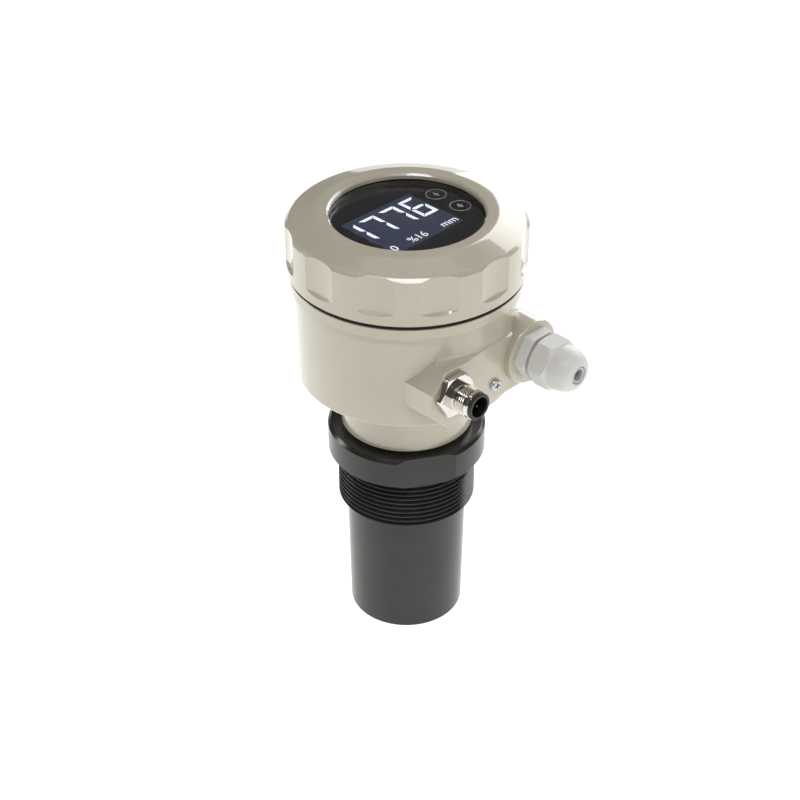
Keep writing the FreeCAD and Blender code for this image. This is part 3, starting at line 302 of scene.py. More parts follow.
# colour that drifts between two shades over the given size, and a fine bump grain
def grainMaterial(name, shades, driftSize, rough, grainSize, grainHeight, stretch=(1, 1, 1), **sockets):
    material, tree, shader, place = startMaterial(name, **sockets)
    drift = addNode(tree, "ShaderNodeTexNoise", {"Scale": 1 / (driftSize * mm), "Detail": 3.0}, {"Vector": place})
    tint = addNode(tree, "ShaderNodeValToRGB", links={"Fac": drift.outputs["Fac"]})
    tint.color_ramp.elements[0].color = linearColour(shades[0])
    tint.color_ramp.elements[1].color = linearColour(shades[1])
    tint.color_ramp.elements[0].position = 0.3
    tint.color_ramp.elements[1].position = 0.7
    tree.links.new(tint.outputs["Color"], shader.inputs["Base Color"])
    turned = addNode(tree, "ShaderNodeMapping", {"Scale": stretch}, {"Vector": place})
    grain = addNode(tree, "ShaderNodeTexNoise", {"Scale": 1 / (grainSize * mm), "Detail": 2.0},
                    {"Vector": turned.outputs["Vector"]})
    gloss = addNode(tree, "ShaderNodeMapRange", {"To Min": rough[0], "To Max": rough[1]},
                    {"Value": grain.outputs["Fac"]})
    tree.links.new(gloss.outputs["Result"], shader.inputs["Roughness"])
    bump = addNode(tree, "ShaderNodeBump", {"Strength": 1.0, "Distance": grainHeight * mm},
                   {"Height": grain.outputs["Fac"]})
    tree.links.new(bump.outputs["Normal"], shader.inputs["Normal"])
    return material


# gloss beige powder coat on cast aluminium: soft orange peel under a clear shine
beigePaint = grainMaterial("glossPowderCoatOnCastAluminium", ("b6af9d", "bcb5a3"), 30, (0.2, 0.26), 1.6, 0.003,
                           **{"Coat Weight": 1.0, "Coat Roughness": 0.03, "IOR": 1.5})
# turned black polypropylene: faint lathe rings along the axis give it a satin sheen
blackPlastic = grainMaterial("turnedBlackPolypropylene", ("212120", "282827"), 12, (0.17, 0.25), 0.9, 0.002,
                             (0.04, 0.04, 1), **{"IOR": 1.49})
# moulded black epoxy layer: dull, with a fine sandy grain
faceEpoxy = grainMaterial("mouldedBlackEpoxy", ("1a1a1a", "222221"), 8, (0.5, 0.62), 0.5, 0.006, **{"IOR": 1.5})
# bright nickel on turned brass: warm mirror with fine drawn lines
nickel = grainMaterial("brightNickelOnTurnedBrass", ("d2cdc9", "ddd8d4"), 5, (0.05, 0.1), 0.4, 0.0005,
                       (1, 0.05, 1), **{"Metallic": 1.0})
# gold plate on pins: soft yellow mirror
gold = grainMaterial("goldPlateOnBrass", ("d9a74a", "e0b35c"), 2, (0.15, 0.22), 0.3, 0.001, **{"Metallic": 1.0})
# moulded glass-filled nylon in black: matt with a fine grain
blackNylon = grainMaterial("mouldedBlackNylon", ("0e0e0f", "151516"), 4, (0.4, 0.5), 0.35, 0.004, **{"IOR": 1.53})
# moulded light grey nylon: satin, a little waxy, fine spark-eroded grain
greyNylon = grainMaterial("mouldedLightGreyNylon", ("d2d1ce", "d8d7d4"), 9, (0.36, 0.46), 0.45, 0.004,
                          **{"IOR": 1.53, "Subsurface Weight": 0.08, "Subsurface Scale": 0.001})
# nitrile rubber: nearly black, dull, with a bloom
rubber = grainMaterial("mouldedNitrileRubber", ("0d0b0a", "151311"), 3, (0.55, 0.7), 0.4, 0.005,
                       **{"IOR": 1.52, "Specular IOR Level": 0.2})
# light grey silicone rubber: soft, even, slightly see-through at thin edges
greyRubber = grainMaterial("mouldedGreySiliconeRubber", ("bcbcba", "c6c6c4"), 3, (0.5, 0.6), 0.4, 0.004,
                           **{"IOR": 1.45, "Subsurface Weight": 0.05, "Subsurface Scale": 0.001})
# zinc plated steel: grey-blue metal with fine grit
zincSteel = grainMaterial("zincPlatedSteel", ("b9bcbe", "c8cacb"), 2, (0.22, 0.34), 0.3, 0.002, **{"Metallic": 1.0})
# turned aluminium: bright with close tool rings
turnedAluminium = grainMaterial("turnedAluminium", ("c2c4c6", "cfd0d2"), 6, (0.25, 0.36), 0.5, 0.003,
                                (0.1, 0.1, 1), **{"Metallic": 1.0})
# circuit board laminate under green solder mask: dark satin green with a fine grain
boardMask = grainMaterial("solderMaskedLaminate", ("123a22", "164529"), 5, (0.3, 0.4), 0.6, 0.004, **{"IOR": 1.5})
# pale grey laminate: a colour lightened as painted light against the shade under the cover, so that the board seen
# past the straight edge of the display plate reads flat grey
paleGreyBoardPaintedLight = grainMaterial("paleGreyLaminatePaintedLight", ("a3a19d", "abaaa6"), 5, (0.4, 0.5), 0.6, 0.004, **{"IOR": 1.5})
# moulded green nylon: the plain satin of a terminal block
greenNylon = grainMaterial("mouldedGreenNylon", ("2f7d47", "36864e"), 6, (0.4, 0.5), 0.4, 0.004, **{"IOR": 1.53})
# moulded uncoloured nylon: creamy white, satin
whiteNylon = grainMaterial("mouldedNaturalNylon", ("dedbd2", "e6e3da"), 5, (0.4, 0.5), 0.4, 0.004, **{"IOR": 1.53})
# extruded cable jacket: dull mid grey
cableJacket = grainMaterial("extrudedGreyCableJacket", ("4a4a4c", "545456"), 4, (0.5, 0.6), 0.5, 0.004,
                            **{"IOR": 1.5})
# cast black resin: nearly black, with an uneven shine
resin = grainMaterial("castBlackResin", ("151517", "1d1d1f"), 6, (0.35, 0.5), 1.2, 0.01, **{"IOR": 1.55})
# fired ceramic: pale tan, dry
ceramic = grainMaterial("firedPiezoCeramic", ("b5a680", "c2b48f"), 3, (0.45, 0.55), 0.3, 0.003, **{"IOR": 1.6})
# gloss black print film on the display front: deep and even
blackFilm = grainMaterial("glossBlackPrintFilm", ("080708", "0c0b0c"), 14, (0.16, 0.22), 0.8, 0.001, **{"IOR": 1.5})
# screen printed ink: flat light grey
greyPrint = grainMaterial("screenPrintedGreyInk", ("cac8c6", "d2d0ce"), 2, (0.45, 0.55), 0.3, 0.001, **{"IOR": 1.5})


# liquid crystal cell: deep blue-grey with the faint dot grid of its pixels
def makeScreenMaterial():
    material, tree, shader, place = startMaterial("backlitLiquidCrystalCell", **{
        "IOR": 1.5, "Roughness": 0.2, "Emission Color": linearColour("3c4360"), "Emission Strength": 0.48})
    grid = addNode(tree, "ShaderNodeTexBrick", {
        "Scale": 1.0, "Brick Width": 0.45 * mm, "Row Height": 0.45 * mm, "Mortar Size": 0.03 * mm,
        "Color1": linearColour("282b37"), "Color2": linearColour("2b2e3b"), "Mortar": linearColour("232631"),
    }, {"Vector": place}, offset=0.0)
    tree.links.new(grid.outputs["Color"], shader.inputs["Base Color"])
    return material


screenGlow = makeScreenMaterial()


# lit segments: white backlight through the cell, a little uneven
def makeSegmentMaterial():
    material, tree, shader, place = startMaterial("litLiquidCrystalSegment", **{
        "IOR": 1.5, "Roughness": 0.3, "Emission Strength": 0.85})
    haze = addNode(tree, "ShaderNodeTexNoise", {"Scale": 1 / (6 * mm)}, {"Vector": place})
    shade = addNode(tree, "ShaderNodeValToRGB", links={"Fac": haze.outputs["Fac"]})
    shade.color_ramp.elements[0].color = linearColour("e6eaf4")
    shade.color_ramp.elements[1].color = linearColour("fbfcff")
    tree.links.new(shade.outputs["Color"], shader.inputs["Base Color"])
    tree.links.new(shade.outputs["Color"], shader.inputs["Emission Color"])
    return material


segmentLight = makeSegmentMaterial()


# toughened float glass: clear, with the faintest surface wave
def makeGlassMaterial():
    material, tree, shader, place = startMaterial("toughenedFloatGlass", **{
        "IOR": 1.45, "Roughness": 0.0, "Transmission Weight": 1.0, "Base Color": linearColour("fbfdfd")})
    wave = addNode(tree, "ShaderNodeTexNoise", {"Scale": 1 / (40 * mm), "Detail": 0.0}, {"Vector": place})
    bump = addNode(tree, "ShaderNodeBump", {"Strength": 1.0, "Distance": 0.002 * mm}, {"Height": wave.outputs["Fac"]})
    tree.links.new(bump.outputs["Normal"], shader.inputs["Normal"])
    return material


floatGlass = makeGlassMaterial()
print("materials made")


# transducer body: barrel, pipe thread and collar in one piece
transducer = {
    "bore": 21.5, "faceRadius": 25.0, "faceRound": 1.2, "topRadius": 26.0, "length": 60.0,
    "threadRoot": 28.35, "threadCrest": 29.8, "threadPitch": 2.309, "threadTop": 83.5, "ridges": 10,
    "collarFlat": 31.4, "flatDeg": 60.0, "collarRadius": 34.0, "collarTop": 97.9, "collarChamfer": 1.4,
    "collarInner": 22.0, "overlap": 0.5, "edge": 0.35, "threadEdge": 0.08,
}


def makeTransducer(size):
    low = size["faceRound"]
    barrelTop, threadEnd = size["length"] + size["overlap"], size["threadTop"] + size["overlap"]
    barrel = turnProfile("barrel", [
        (size["bore"], 0), *arcCorners((size["faceRadius"] - low, low), low, -90, 0, 5),
        (size["topRadius"], barrelTop), (size["bore"], barrelTop)])
    # the pipe thread as ridges, at the levels of the CAD ridges
    sides = {"root": size["threadRoot"], "crest": size["threadCrest"]}
    ridges = []
    for number in range(size["ridges"]):
        foot = size["length"] + size["threadPitch"] * number
        for side, share in toothShares:
            ridges.append((sides[side], foot + size["threadPitch"] * share))
    thread = turnProfile("pipeThread", [
        (size["bore"], size["length"]), (size["threadRoot"], size["length"]), *ridges,
        (size["threadRoot"], threadEnd), (size["bore"], threadEnd)], 144)
    breakEdges(thread, size["threadEdge"], 30, 1)
    chamfer = size["collarChamfer"]
    collar = turnProfile("collar", [
        (size["collarInner"], size["threadTop"]), (size["collarRadius"] - chamfer, size["threadTop"]),
        (size["collarRadius"], size["threadTop"] + chamfer), (size["collarRadius"], size["collarTop"] - chamfer),
        (size["collarRadius"] - chamfer, size["collarTop"]), (size["collarInner"], size["collarTop"])], 192)
    # two wrench flats, on opposite sides
    for deg in (size["flatDeg"], size["flatDeg"] + 180):
        outward = Vector((math.cos(math.radians(deg)), math.sin(math.radians(deg)), 0))
        sliceOff(collar, outward * size["collarFlat"], outward)
    breakEdges(collar, size["edge"], 12)
    for piece in (barrel, collar):
        smoothPiece(piece, 35)
    smoothPiece(thread, 40)
    return joinPieces("transducerBody", [barrel, thread, collar])


finishPiece(makeTransducer(transducer), "transmitter", blackPlastic, ["sensor_body"])
print("transducer made")

# cast housing, from the CAD shape with its edges broken
housingLook = {"edge": 0.3, "threadRoot": 44.45, "threadCrest": 44.85, "threadPitch": 2.0,
               "threadLow": 176.5, "threadHigh": 187.0}
finishPiece(copyNode("housing", "castHousing", housingLook["edge"]), "transmitter", beigePaint,
            ["housing"])
mouthThread = windThread("mouthThread", housingLook["threadRoot"], housingLook["threadCrest"],
                         housingLook["threadPitch"], housingLook["threadLow"], housingLook["threadHigh"])
finishPiece(smoothPiece(mouthThread, 50), "transmitter", beigePaint)
print("housing made")

# screwed cover with grip scallops
coverCup = {
    "radius": 49.399, "low": 173.7, "top": 198.5, "lowChamfer": 0.6, "reliefRadius": 47.3, "reliefTop": 175.3,
    "bore": 45.0, "roof": 192.5, "bossRadius": 40.5, "bossLow": 190.0, "ringSeat": 37.9, "ringSeatTop": 193.0,
    "glassSeat": 35.8, "lipLow": 196.2, "window": 31.7, "windowChamfer": 0.8, "land": 37.6,
    "shoulderRadius": 47.6, "shoulderDrop": 2.9, "edgeDrop": 4.7, "shoulderReach": 0.9, "landReach": 1.6,
    "scallopRadius": 40.0, "scallopDepth": 1.3, "scallopLow": 178.0, "scallops": 12, "endReach": 1.6,
    "cutterRise": 4.0, "cutterSpare": 1.0, "weld": 0.02, "edge": 0.3,
    "wallTolerance": 0.03, "endTolerance": 0.2, "endLong": 8.0, "endLean": 0.1,   # how a scallop's end is found
}


# true where the cutter's arc leaves the cover's wall
def isScallopEnd(spot, size):
    wall, reach = size["radius"], size["scallopRadius"]
    away = wall - size["scallopDepth"] + reach
    end = math.degrees(math.acos((wall ** 2 + away ** 2 - reach ** 2) / (2 * wall * away)))
    pitch = 360 / size["scallops"]
    turn = math.degrees(math.atan2(spot.y, spot.x)) % pitch
    return min(abs(turn - end), abs(turn - pitch + end)) < size["endTolerance"]


def makeCover(size):
    top = size["top"]
    outerEdge = (size["radius"], top - size["edgeDrop"])
    shoulder = (size["shoulderRadius"], top - size["shoulderDrop"])
    land, innerEdge = (size["land"], top), (size["window"] + size["windowChamfer"], top)
    cup = turnProfile("screwedCover", [
        (size["reliefRadius"], size["low"]), (size["radius"] - size["lowChamfer"], size["low"]),
        (size["radius"], size["low"] + size["lowChamfer"]), outerEdge,
        *softCorner(outerEdge, shoulder, land, size["shoulderReach"]),
        *softCorner(shoulder, land, innerEdge, size["landReach"]), innerEdge,
        (size["window"], top - size["windowChamfer"]), (size["window"], size["lipLow"]),
        (size["glassSeat"], size["lipLow"]), (size["glassSeat"], size["ringSeatTop"]),
        (size["ringSeat"], size["ringSeatTop"]), (size["ringSeat"], size["bossLow"]),
        (size["bossRadius"], size["bossLow"]), (size["bossRadius"], size["roof"]),
        (size["bore"], size["roof"]), (size["bore"], size["reliefTop"]),
        (size["reliefRadius"], size["reliefTop"])], 240)
    # one scallop cutter with a sloped foot, its outer side sliced off so that neighbours stay apart
    low, reach, depth = size["scallopLow"], size["scallopRadius"], size["scallopDepth"]
    high = top + size["cutterRise"]
    cutter = turnProfile("scallopCutter", [
        (0, low), (reach - depth, low), (reach, low + depth), (reach, high), (0, high)], 540, closed=False)
    placePiece(cutter, (size["radius"] - depth + reach, 0, 0))
    sliceOff(cutter, (size["radius"] + size["cutterSpare"], 0, 0), (1, 0, 0))
    cutters = [cutter]
    for number in range(1, size["scallops"]):
        twin = copyPiece(cutter, f"cutter{number}")
        placePiece(twin, (0, 0, 0), (0, 0, 360 / size["scallops"] * number))
        cutters.append(twin)
    subtract(cup, joinPieces("cutters", cutters))
    editAll(cup)
    bpy.ops.mesh.remove_doubles(threshold=size["weld"] * mm)
    leaveEdit()

    # the upright ends of the scallops are eased, so that the edge above them waves softly
    def onWall(spot):
        return abs(spot.xy.length / mm - size["radius"]) < size["wallTolerance"] and low < spot.z / mm < top

    def isUpright(one, two):
        return abs(one.z - two.z) > size["endLong"] * mm and (one.xy - two.xy).length < size["endLean"] * mm

    editEdges(cup, lambda one, two: onWall(one) and onWall(two) and isUpright(one, two) and isScallopEnd(one, size))
    bpy.ops.mesh.bevel(offset=size["endReach"] * mm, segments=4)
    leaveEdit()
    breakEdges(cup, size["edge"], 14, 2)
    return smoothPiece(cup, 22)


finishPiece(makeCover(coverCup), "cover", beigePaint, ["cover"])
finishPiece(copyNode("retaining_ring", "windowRing", 0.2), "cover", turnedAluminium,
            ["retaining_ring"])
print("cover made")

# window glass with ground edges
windowPane = {"radius": 35.5, "low": 192.8, "high": 195.8, "edge": 0.3}


def makePane(size):
    edge = size["edge"]
    pane = turnProfile("windowPane", [
        (0, size["low"]), (size["radius"] - edge, size["low"]), (size["radius"], size["low"] + edge),
        (size["radius"], size["high"] - edge), (size["radius"] - edge, size["high"]), (0, size["high"])],
        128, closed=False)
    return smoothPiece(pane, 30)


finishPiece(makePane(windowPane), "window", floatGlass, ["window_glass"])
finishPiece(copyNode("window_gasket", "windowGasket"), "window", rubber, ["window_gasket"])
print("window made")

# entries: both stand on the block, local Z outwards
entryAxis = 143.8
entryOffset = 22.3


def standOnEntry(piece, x, depth, height=entryAxis):
    return placePiece(piece, (x, -depth, height), (90, 0, 0))


# round plug: hexagon flange, shoulder, fine thread, end ring
plug = {
    "face": 47.5, "flats": 17.4, "corner": 9.7, "flange": 3.3, "chamfer": 0.5, "bore": 5.0,
    "shoulder": 6.2, "shoulderEnd": 6.0, "threadCrest": 6.0, "threadRoot": 5.25, "pitch": 1.0,
    "threadEnd": 11.2, "end": 13.4, "endChamfer": 0.3, "edge": 0.15, "shank": 7.0,
    "threadSink": 0.02, "startGap": 0.3, "endGap": 0.1, "runOut": 0.15, "runOutEnd": 0.4,
    "insert": 4.95, "rim": 5.7, "rimEnd": 15.0, "rimChamfer": 0.25, "socket": 4.3, "socketChamfer": 0.2,
    "socketDepth": 10.0, "back": -11.0, "ribSize": (1.3, 0.9, 8.0), "ribInset": 0.3, "ribEdge": 0.2,
    "pins": 4, "pinRadius": 0.5, "pinCircle": 2.4, "pinTip": 12.2, "pinBack": -13.0,
}


def makePlugShell(size):
    flange = turnProfile("plugFlange", [
        (size["bore"], 0), (size["corner"], 0), (size["corner"], size["flange"] - size["chamfer"]),
        (size["corner"] - 2 * size["chamfer"], size["flange"]), (size["bore"], size["flange"])], 144)
    cutHexagon(flange, size["flats"], 90)
    breakEdges(flange, size["edge"], 18)
    soft = size["endChamfer"]
    barrel = turnProfile("plugBarrel", [
        (size["bore"], size["back"]), (size["shank"], size["back"]), (size["shank"], 0), (size["shoulder"], 0),
        (size["shoulder"], size["shoulderEnd"] - soft), (size["shoulder"] - soft, size["shoulderEnd"]),
        (size["threadRoot"], size["shoulderEnd"]), (size["threadRoot"], size["threadEnd"]),
        (size["threadCrest"] - size["runOut"], size["threadEnd"] + size["runOut"]),
        (size["threadCrest"], size["threadEnd"] + size["runOutEnd"]),
        (size["threadCrest"], size["end"] - soft), (size["threadCrest"] - soft, size["end"]),
        (size["bore"], size["end"])], 96)
    thread = windThread("plugThread", size["threadRoot"] - size["threadSink"], size["threadCrest"], size["pitch"],
                        size["shoulderEnd"] + size["startGap"], size["threadEnd"] - size["endGap"], 72)
    for piece in (flange, barrel):
        smoothPiece(piece, 30)
    smoothPiece(thread, 50)
    return standOnEntry(joinPieces("plugShell", [flange, barrel, thread]), -entryOffset, size["face"])


def makePlugInsert(size):
    socketFloor = size["rimEnd"] - size["socketDepth"]
    outer, inner = size["rimChamfer"], size["socketChamfer"]
    insert = turnProfile("plugInsert", [
        (0, size["back"]), (size["insert"], size["back"]), (size["insert"], size["end"]), (size["rim"], size["end"]),
        (size["rim"], size["rimEnd"] - outer), (size["rim"] - outer, size["rimEnd"]),
        (size["socket"] + inner, size["rimEnd"]), (size["socket"], size["rimEnd"] - inner),
        (size["socket"], socketFloor), (0, socketFloor)], 96, closed=False)
    # the coding rib inside the socket
    rib = addBlock((0, size["socket"] - size["ribInset"], socketFloor + size["ribSize"][2] / 2), size["ribSize"])
    breakEdges(rib, size["ribEdge"], 30)
    smoothPiece(insert, 30)
    smoothPiece(rib, 30)
    return standOnEntry(joinPieces("plugInsert", [insert, rib]), -entryOffset, size["face"])


def makePlugPins(size):
    radius = size["pinRadius"]
    pin = turnProfile("plugPin", [
        (0, size["pinBack"]), (radius, size["pinBack"]),
        *arcCorners((0, size["pinTip"] - radius), radius, 0, 90, 5)], 24, closed=False)
    smoothPiece(pin, 40)
    pins = [pin]
    for number in range(1, size["pins"]):
        pins.append(copyPiece(pin, f"plugPin{number}"))
    for number, item in enumerate(pins):
        angle = math.radians(45) + fullTurn / size["pins"] * number
        placePiece(item, (size["pinCircle"] * math.cos(angle), size["pinCircle"] * math.sin(angle), 0))
    return standOnEntry(joinPieces("plugPins", pins), -entryOffset, size["face"])


finishPiece(makePlugShell(plug), "transmitter", nickel, ["plug_shell"])
finishPiece(makePlugInsert(plug), "transmitter", blackNylon, ["plug_insert"])
finishPiece(makePlugPins(plug), "transmitter", gold, ["plug_pins"])
finishPiece(copyNode("plug_seal", "plugSeal"), "transmitter", rubber, ["plug_seal"])
print("plug made")

# cable gland: fixed body, domed nut, rubber seal
gland = {
    "face": 50.5, "flats": 20.0, "corner": 11.3, "base": 5.0, "chamfer": 0.5, "shank": 8.0, "back": -12.0,
    "bore": 5.0, "neck": 8.15, "neckEnd": 14.0, "clawEnd": 20.0, "claw": 6.4, "seat": 5.7, "seatStart": 8.0,
    "threadCrest": 8.5, "threadPitch": 1.5, "threadSink": 0.02, "startGap": 0.8, "endGap": 0.5,
    "overlap": 1.0, "step": 0.5, "mouthChamfer": 0.4, "jointShadeRing": 0.5, "noseChamfer": 0.3,
    "nutStart": 6.0, "nutStraight": 13.9, "domeStart": 15.4, "nutEnd": 25.0, "nutInner": 8.6, "nutInnerEnd": 15.0,
    "nutSeat": 22.3, "nutSeatRadius": 6.2, "mouth": 3.9, "dome": 9.65, "domeCentre": 3.2, "fullness": 0.82,
    "edge": 0.3,
    "sealRadius": 5.4, "sealBore": 2.5, "sealStart": 8.5, "sealEnd": 22.2, "nose": 3.7, "noseEnd": 24.6,
}


def makeGlandBody(size):
    base = turnProfile("glandBase", [
        (size["shank"], 0), (size["corner"], 0), (size["corner"], size["base"] - size["chamfer"]),
        (size["corner"] - 2 * size["chamfer"], size["base"]), (size["shank"] - size["overlap"], size["base"]),
        (size["shank"] - size["overlap"], 0)], 144)
    cutHexagon(base, size["flats"], 90)
    breakEdges(base, size["edge"], 18)
    step = size["step"]
    sleeve = turnProfile("glandSleeve", [
        (size["bore"], size["back"]), (size["shank"] - step, size["back"]), (size["shank"], size["back"] + step),
        (size["shank"], step), (size["neck"], step), (size["neck"], size["neckEnd"]),
        (size["claw"], size["clawEnd"]), (size["seat"], size["clawEnd"]), (size["seat"], size["seatStart"]),
        (size["bore"], size["seatStart"])], 96)
    thread = windThread("glandThread", size["neck"] - size["threadSink"], size["threadCrest"], size["threadPitch"],
                        size["base"] + size["startGap"], size["neckEnd"] - size["endGap"], 72)
    for piece in (base, sleeve):
        smoothPiece(piece, 30)
    smoothPiece(thread, 50)
    return standOnEntry(joinPieces("glandBody", [base, sleeve, thread]), entryOffset, size["face"])


def makeGlandNut(size):
    # the dome leaves the hexagon upright and ends square at the front, a little fuller than an ellipse
    across, rise = size["dome"] - size["domeCentre"], size["nutEnd"] - size["domeStart"]
    dome = [(size["domeCentre"] + across * math.cos(math.radians(step)) ** size["fullness"],
             size["domeStart"] + rise * math.sin(math.radians(step)) ** size["fullness"])
            for step in range(0, 85, 4)]
    soft = size["mouthChamfer"]
    nut = turnProfile("glandNut", [
        (size["nutInner"], size["nutStart"]), (size["dome"], size["nutStart"]),
        (size["corner"], size["nutStart"] + 2 * size["chamfer"]), (size["corner"], size["nutStraight"]), *dome,
        (size["mouth"] + soft, size["nutEnd"]), (size["mouth"], size["nutEnd"] - soft),
        (size["mouth"], size["nutSeat"]), (size["nutSeatRadius"], size["nutSeat"]),
        (size["nutInner"], size["nutInnerEnd"])], 144)
    cutHexagon(nut, size["flats"], 90)
    breakEdges(nut, size["edge"], 16, 3)
    smoothPiece(nut, 30)
    return standOnEntry(nut, entryOffset, size["face"])


def makeGlandSeal(size):
    lip, soft = size["jointShadeRing"], size["noseChamfer"]
    seal = turnProfile("glandSeal", [
        (size["sealBore"], size["sealStart"]), (size["sealRadius"], size["sealStart"]),
        (size["sealRadius"], size["sealEnd"]), (size["nose"], size["sealEnd"]),
        (size["nose"], size["noseEnd"] - soft), (size["nose"] - soft, size["noseEnd"]),
        *arcCorners((size["sealBore"] + lip, size["noseEnd"] - lip), lip, 90, 180, 4)], 72)
    smoothPiece(seal, 35)
    return standOnEntry(seal, entryOffset, size["face"])


finishPiece(makeGlandBody(gland), "transmitter", greyNylon, ["gland_body"])
finishPiece(makeGlandNut(gland), "gland_nut", greyNylon, ["gland_nut"])
finishPiece(makeGlandSeal(gland), "gland_seal", greyRubber, ["gland_seal"])
finishPiece(copyNode("gland_gasket", "glandGasket"), "transmitter", rubber, ["gland_gasket"])
print("gland made")

# ground screw: pan head with a cross recess
groundScrew = {"face": 47.5, "x": 2.6, "height": 135.8, "head": 2.6, "headHeight": 1.9, "headRound": 1.1,
               "shank": 1.95, "length": 8.0, "slotLong": 2.9, "slotWide": 0.7, "slotDeep": 1.1, "edge": 0.1}


def makeGroundScrew(size):
    curve = size["headRound"]
    screw = turnProfile("groundScrew", [
        (0, -size["length"]), (size["shank"], -size["length"]), (size["shank"], 0), (size["head"], 0),
        *arcCorners((size["head"] - curve, size["headHeight"] - curve), curve, 0, 75, 5),
        (0, size["headHeight"])], 64, closed=False)
    # two crossed slots, centred on the top of the head
    for wide, deep in (("slotLong", "slotWide"), ("slotWide", "slotLong")):
        subtract(screw, addBlock((0, 0, size["headHeight"]), (size[wide], size[deep], size["slotDeep"] * 2)))
    breakEdges(screw, size["edge"], 30)
    smoothPiece(screw, 30)
    return standOnEntry(screw, size["x"], size["face"], size["height"])


finishPiece(makeGroundScrew(groundScrew), "transmitter", zincSteel, ["ground_screw"])
print("ground screw made")

# display: bezel, screen with lit segments, keys with printed signs
display = {
    "screenTop": 192.1, "ink": 0.04, "digitRight": (-18.55, -7.45, 3.65, 14.75), "digitWidth": 6.6,
    "digitTop": 12.1, "digitMiddle": 5.1, "digitLow": -1.9, "bar": 1.6, "barGap": 0.35,
    "reading": "1776", "smallWords": (("0", -20.8), ("%16", -11.2), ("mm", 6.8)), "smallHeight": 4.0,
    "smallLine": -14.2, "figureShare": 0.69,   # share of the font size that a figure stands
    "keyTop": 192.5, "keyX": 23.85, "keyY": 6.95, "ringOuter": 4.5, "ringInner": 4.05,
    "arrowRadius": 1.5, "arrowUp": 0.35, "shaftDown": 1.05, "shaftWide": 1.0, "shaftLong": 1.5,
}
digitBars = {"1": "bc", "7": "abc", "6": "acdefg"}


# one flat bar of a digit, drawn as an outline and given its thickness
def makeBar(name, corners, height):
    bar = drawWire(name, corners)
    cleanMesh()
    bpy.ops.mesh.select_all(action="SELECT")
    bpy.ops.mesh.edge_face_add()
    bpy.ops.mesh.extrude_region_move(TRANSFORM_OT_translate={"value": (0, height * mm, 0)})
    cleanMesh()
    leaveEdit()
    return placePiece(bar, (0, 0, height / 2), (-90, 0, 0))


# outer bars are longer on their outer side, the middle bar is pointed at both ends
def barCorners(length, width, pointed):
    end, half = length / 2, width / 2
    if pointed:
        return [(-end, 0), (half - end, half), (end - half, half), (end, 0), (end - half, -half), (half - end, -half)]
    return [(-end, half), (end, half), (end - width, -half), (width - end, -half)]


def makeDigits(size):
    ink = size["ink"]
    tall = size["digitTop"] - size["digitMiddle"]
    bar, gap = size["bar"], size["barGap"]
    lying = makeBar("lyingBar", barCorners(size["digitWidth"] + bar - gap, bar, False), ink)
    middle = makeBar("middleBar", barCorners(size["digitWidth"] - gap, bar, True), ink)
    standing = makeBar("standingBar", barCorners(tall + bar / 2 - gap, bar, False), ink)
    level = size["screenTop"] + ink / 2
    bars = []
    for right, digit in zip(size["digitRight"], size["reading"]):
        left = right - size["digitWidth"]
        centre = (left + right) / 2
        upper = (size["digitTop"] + size["digitMiddle"]) / 2
        lower = (size["digitMiddle"] + size["digitLow"]) / 2
        places = {
            "a": (lying, centre, size["digitTop"], 0), "g": (middle, centre, size["digitMiddle"], 0),
            "d": (lying, centre, size["digitLow"], 180), "b": (standing, right, upper + bar / 4, -90),
            "c": (standing, right, lower - bar / 4, -90), "f": (standing, left, upper + bar / 4, 90),
            "e": (standing, left, lower - bar / 4, 90)}
        for mark in digitBars[digit]:
            source, x, y, turn = places[mark]
            bars.append(placePiece(copyPiece(source, f"bar{mark}"), (x, y, level), (0, 0, turn)))
    for source in (lying, middle, standing):
        bpy.data.objects.remove(source)
    for words, x in size["smallWords"]:
        clearSelection()
        bpy.ops.object.text_add(location=(0, 0, 0))
        text = bpy.context.object
        text.data.body = words
        text.data.size = size["smallHeight"] / size["figureShare"] * mm
        text.data.extrude = ink / 2 * mm
        bpy.ops.object.convert(target="MESH")
        piece = bpy.context.object
        bars.append(placePiece(piece, (x, size["smallLine"], level)))
    return joinPieces("screenSegments", bars)


# a thin ring with an arrow in it, pointing up on one key and down on the other
def makeKeySign(size, name, side):
    ink = size["ink"]
    ring = turnProfile(name, [(size["ringInner"], 0), (size["ringOuter"], 0), (size["ringOuter"], ink),
                              (size["ringInner"], ink)], 72)
    clearSelection()
    bpy.ops.mesh.primitive_cylinder_add(vertices=3, radius=size["arrowRadius"] * mm, depth=ink * mm,
                                        location=(0, size["arrowUp"] * mm, ink / 2 * mm))
    head = bpy.context.object
    bpy.ops.object.transform_apply(location=True, rotation=True, scale=True)
    shaft = addBlock((0, -size["shaftDown"], ink / 2), (size["shaftWide"], size["shaftLong"], ink))
    sign = joinPieces(name, [ring, head, shaft])
    return placePiece(sign, (size["keyX"], side * size["keyY"], size["keyTop"]), (0, 0, 0 if side > 0 else 180))


finishPiece(copyNode("display_bezel", "displayBezel", 0.15), "transmitter", blackFilm,
            ["display_bezel"])
finishPiece(copyNode("lcd_module", "screenCell", 0.1), "transmitter", screenGlow, ["lcd_module"])
finishPiece(makeDigits(display), "transmitter", segmentLight)
for node, name, side in (("key_up", "keyUp", 1), ("key_down", "keyDown", -1)):
    finishPiece(copyNode(node, name, 0.25), node, blackFilm, [node])
    finishPiece(makeKeySign(display, name + "Sign", side), node, greyPrint)
print("display made")

# cover seal: the round ring of the CAD, joined with a flat black rubber lip laid out to the cover's outer edge; the
# lip is a dark sheet standing in for the shade in the joint gap, painted shade that makes the joint read as a dark
# line
jointShadeLip = {"inner": 46.2, "outer": 48.8, "low": 172.5, "high": 173.45, "edge": 0.2}


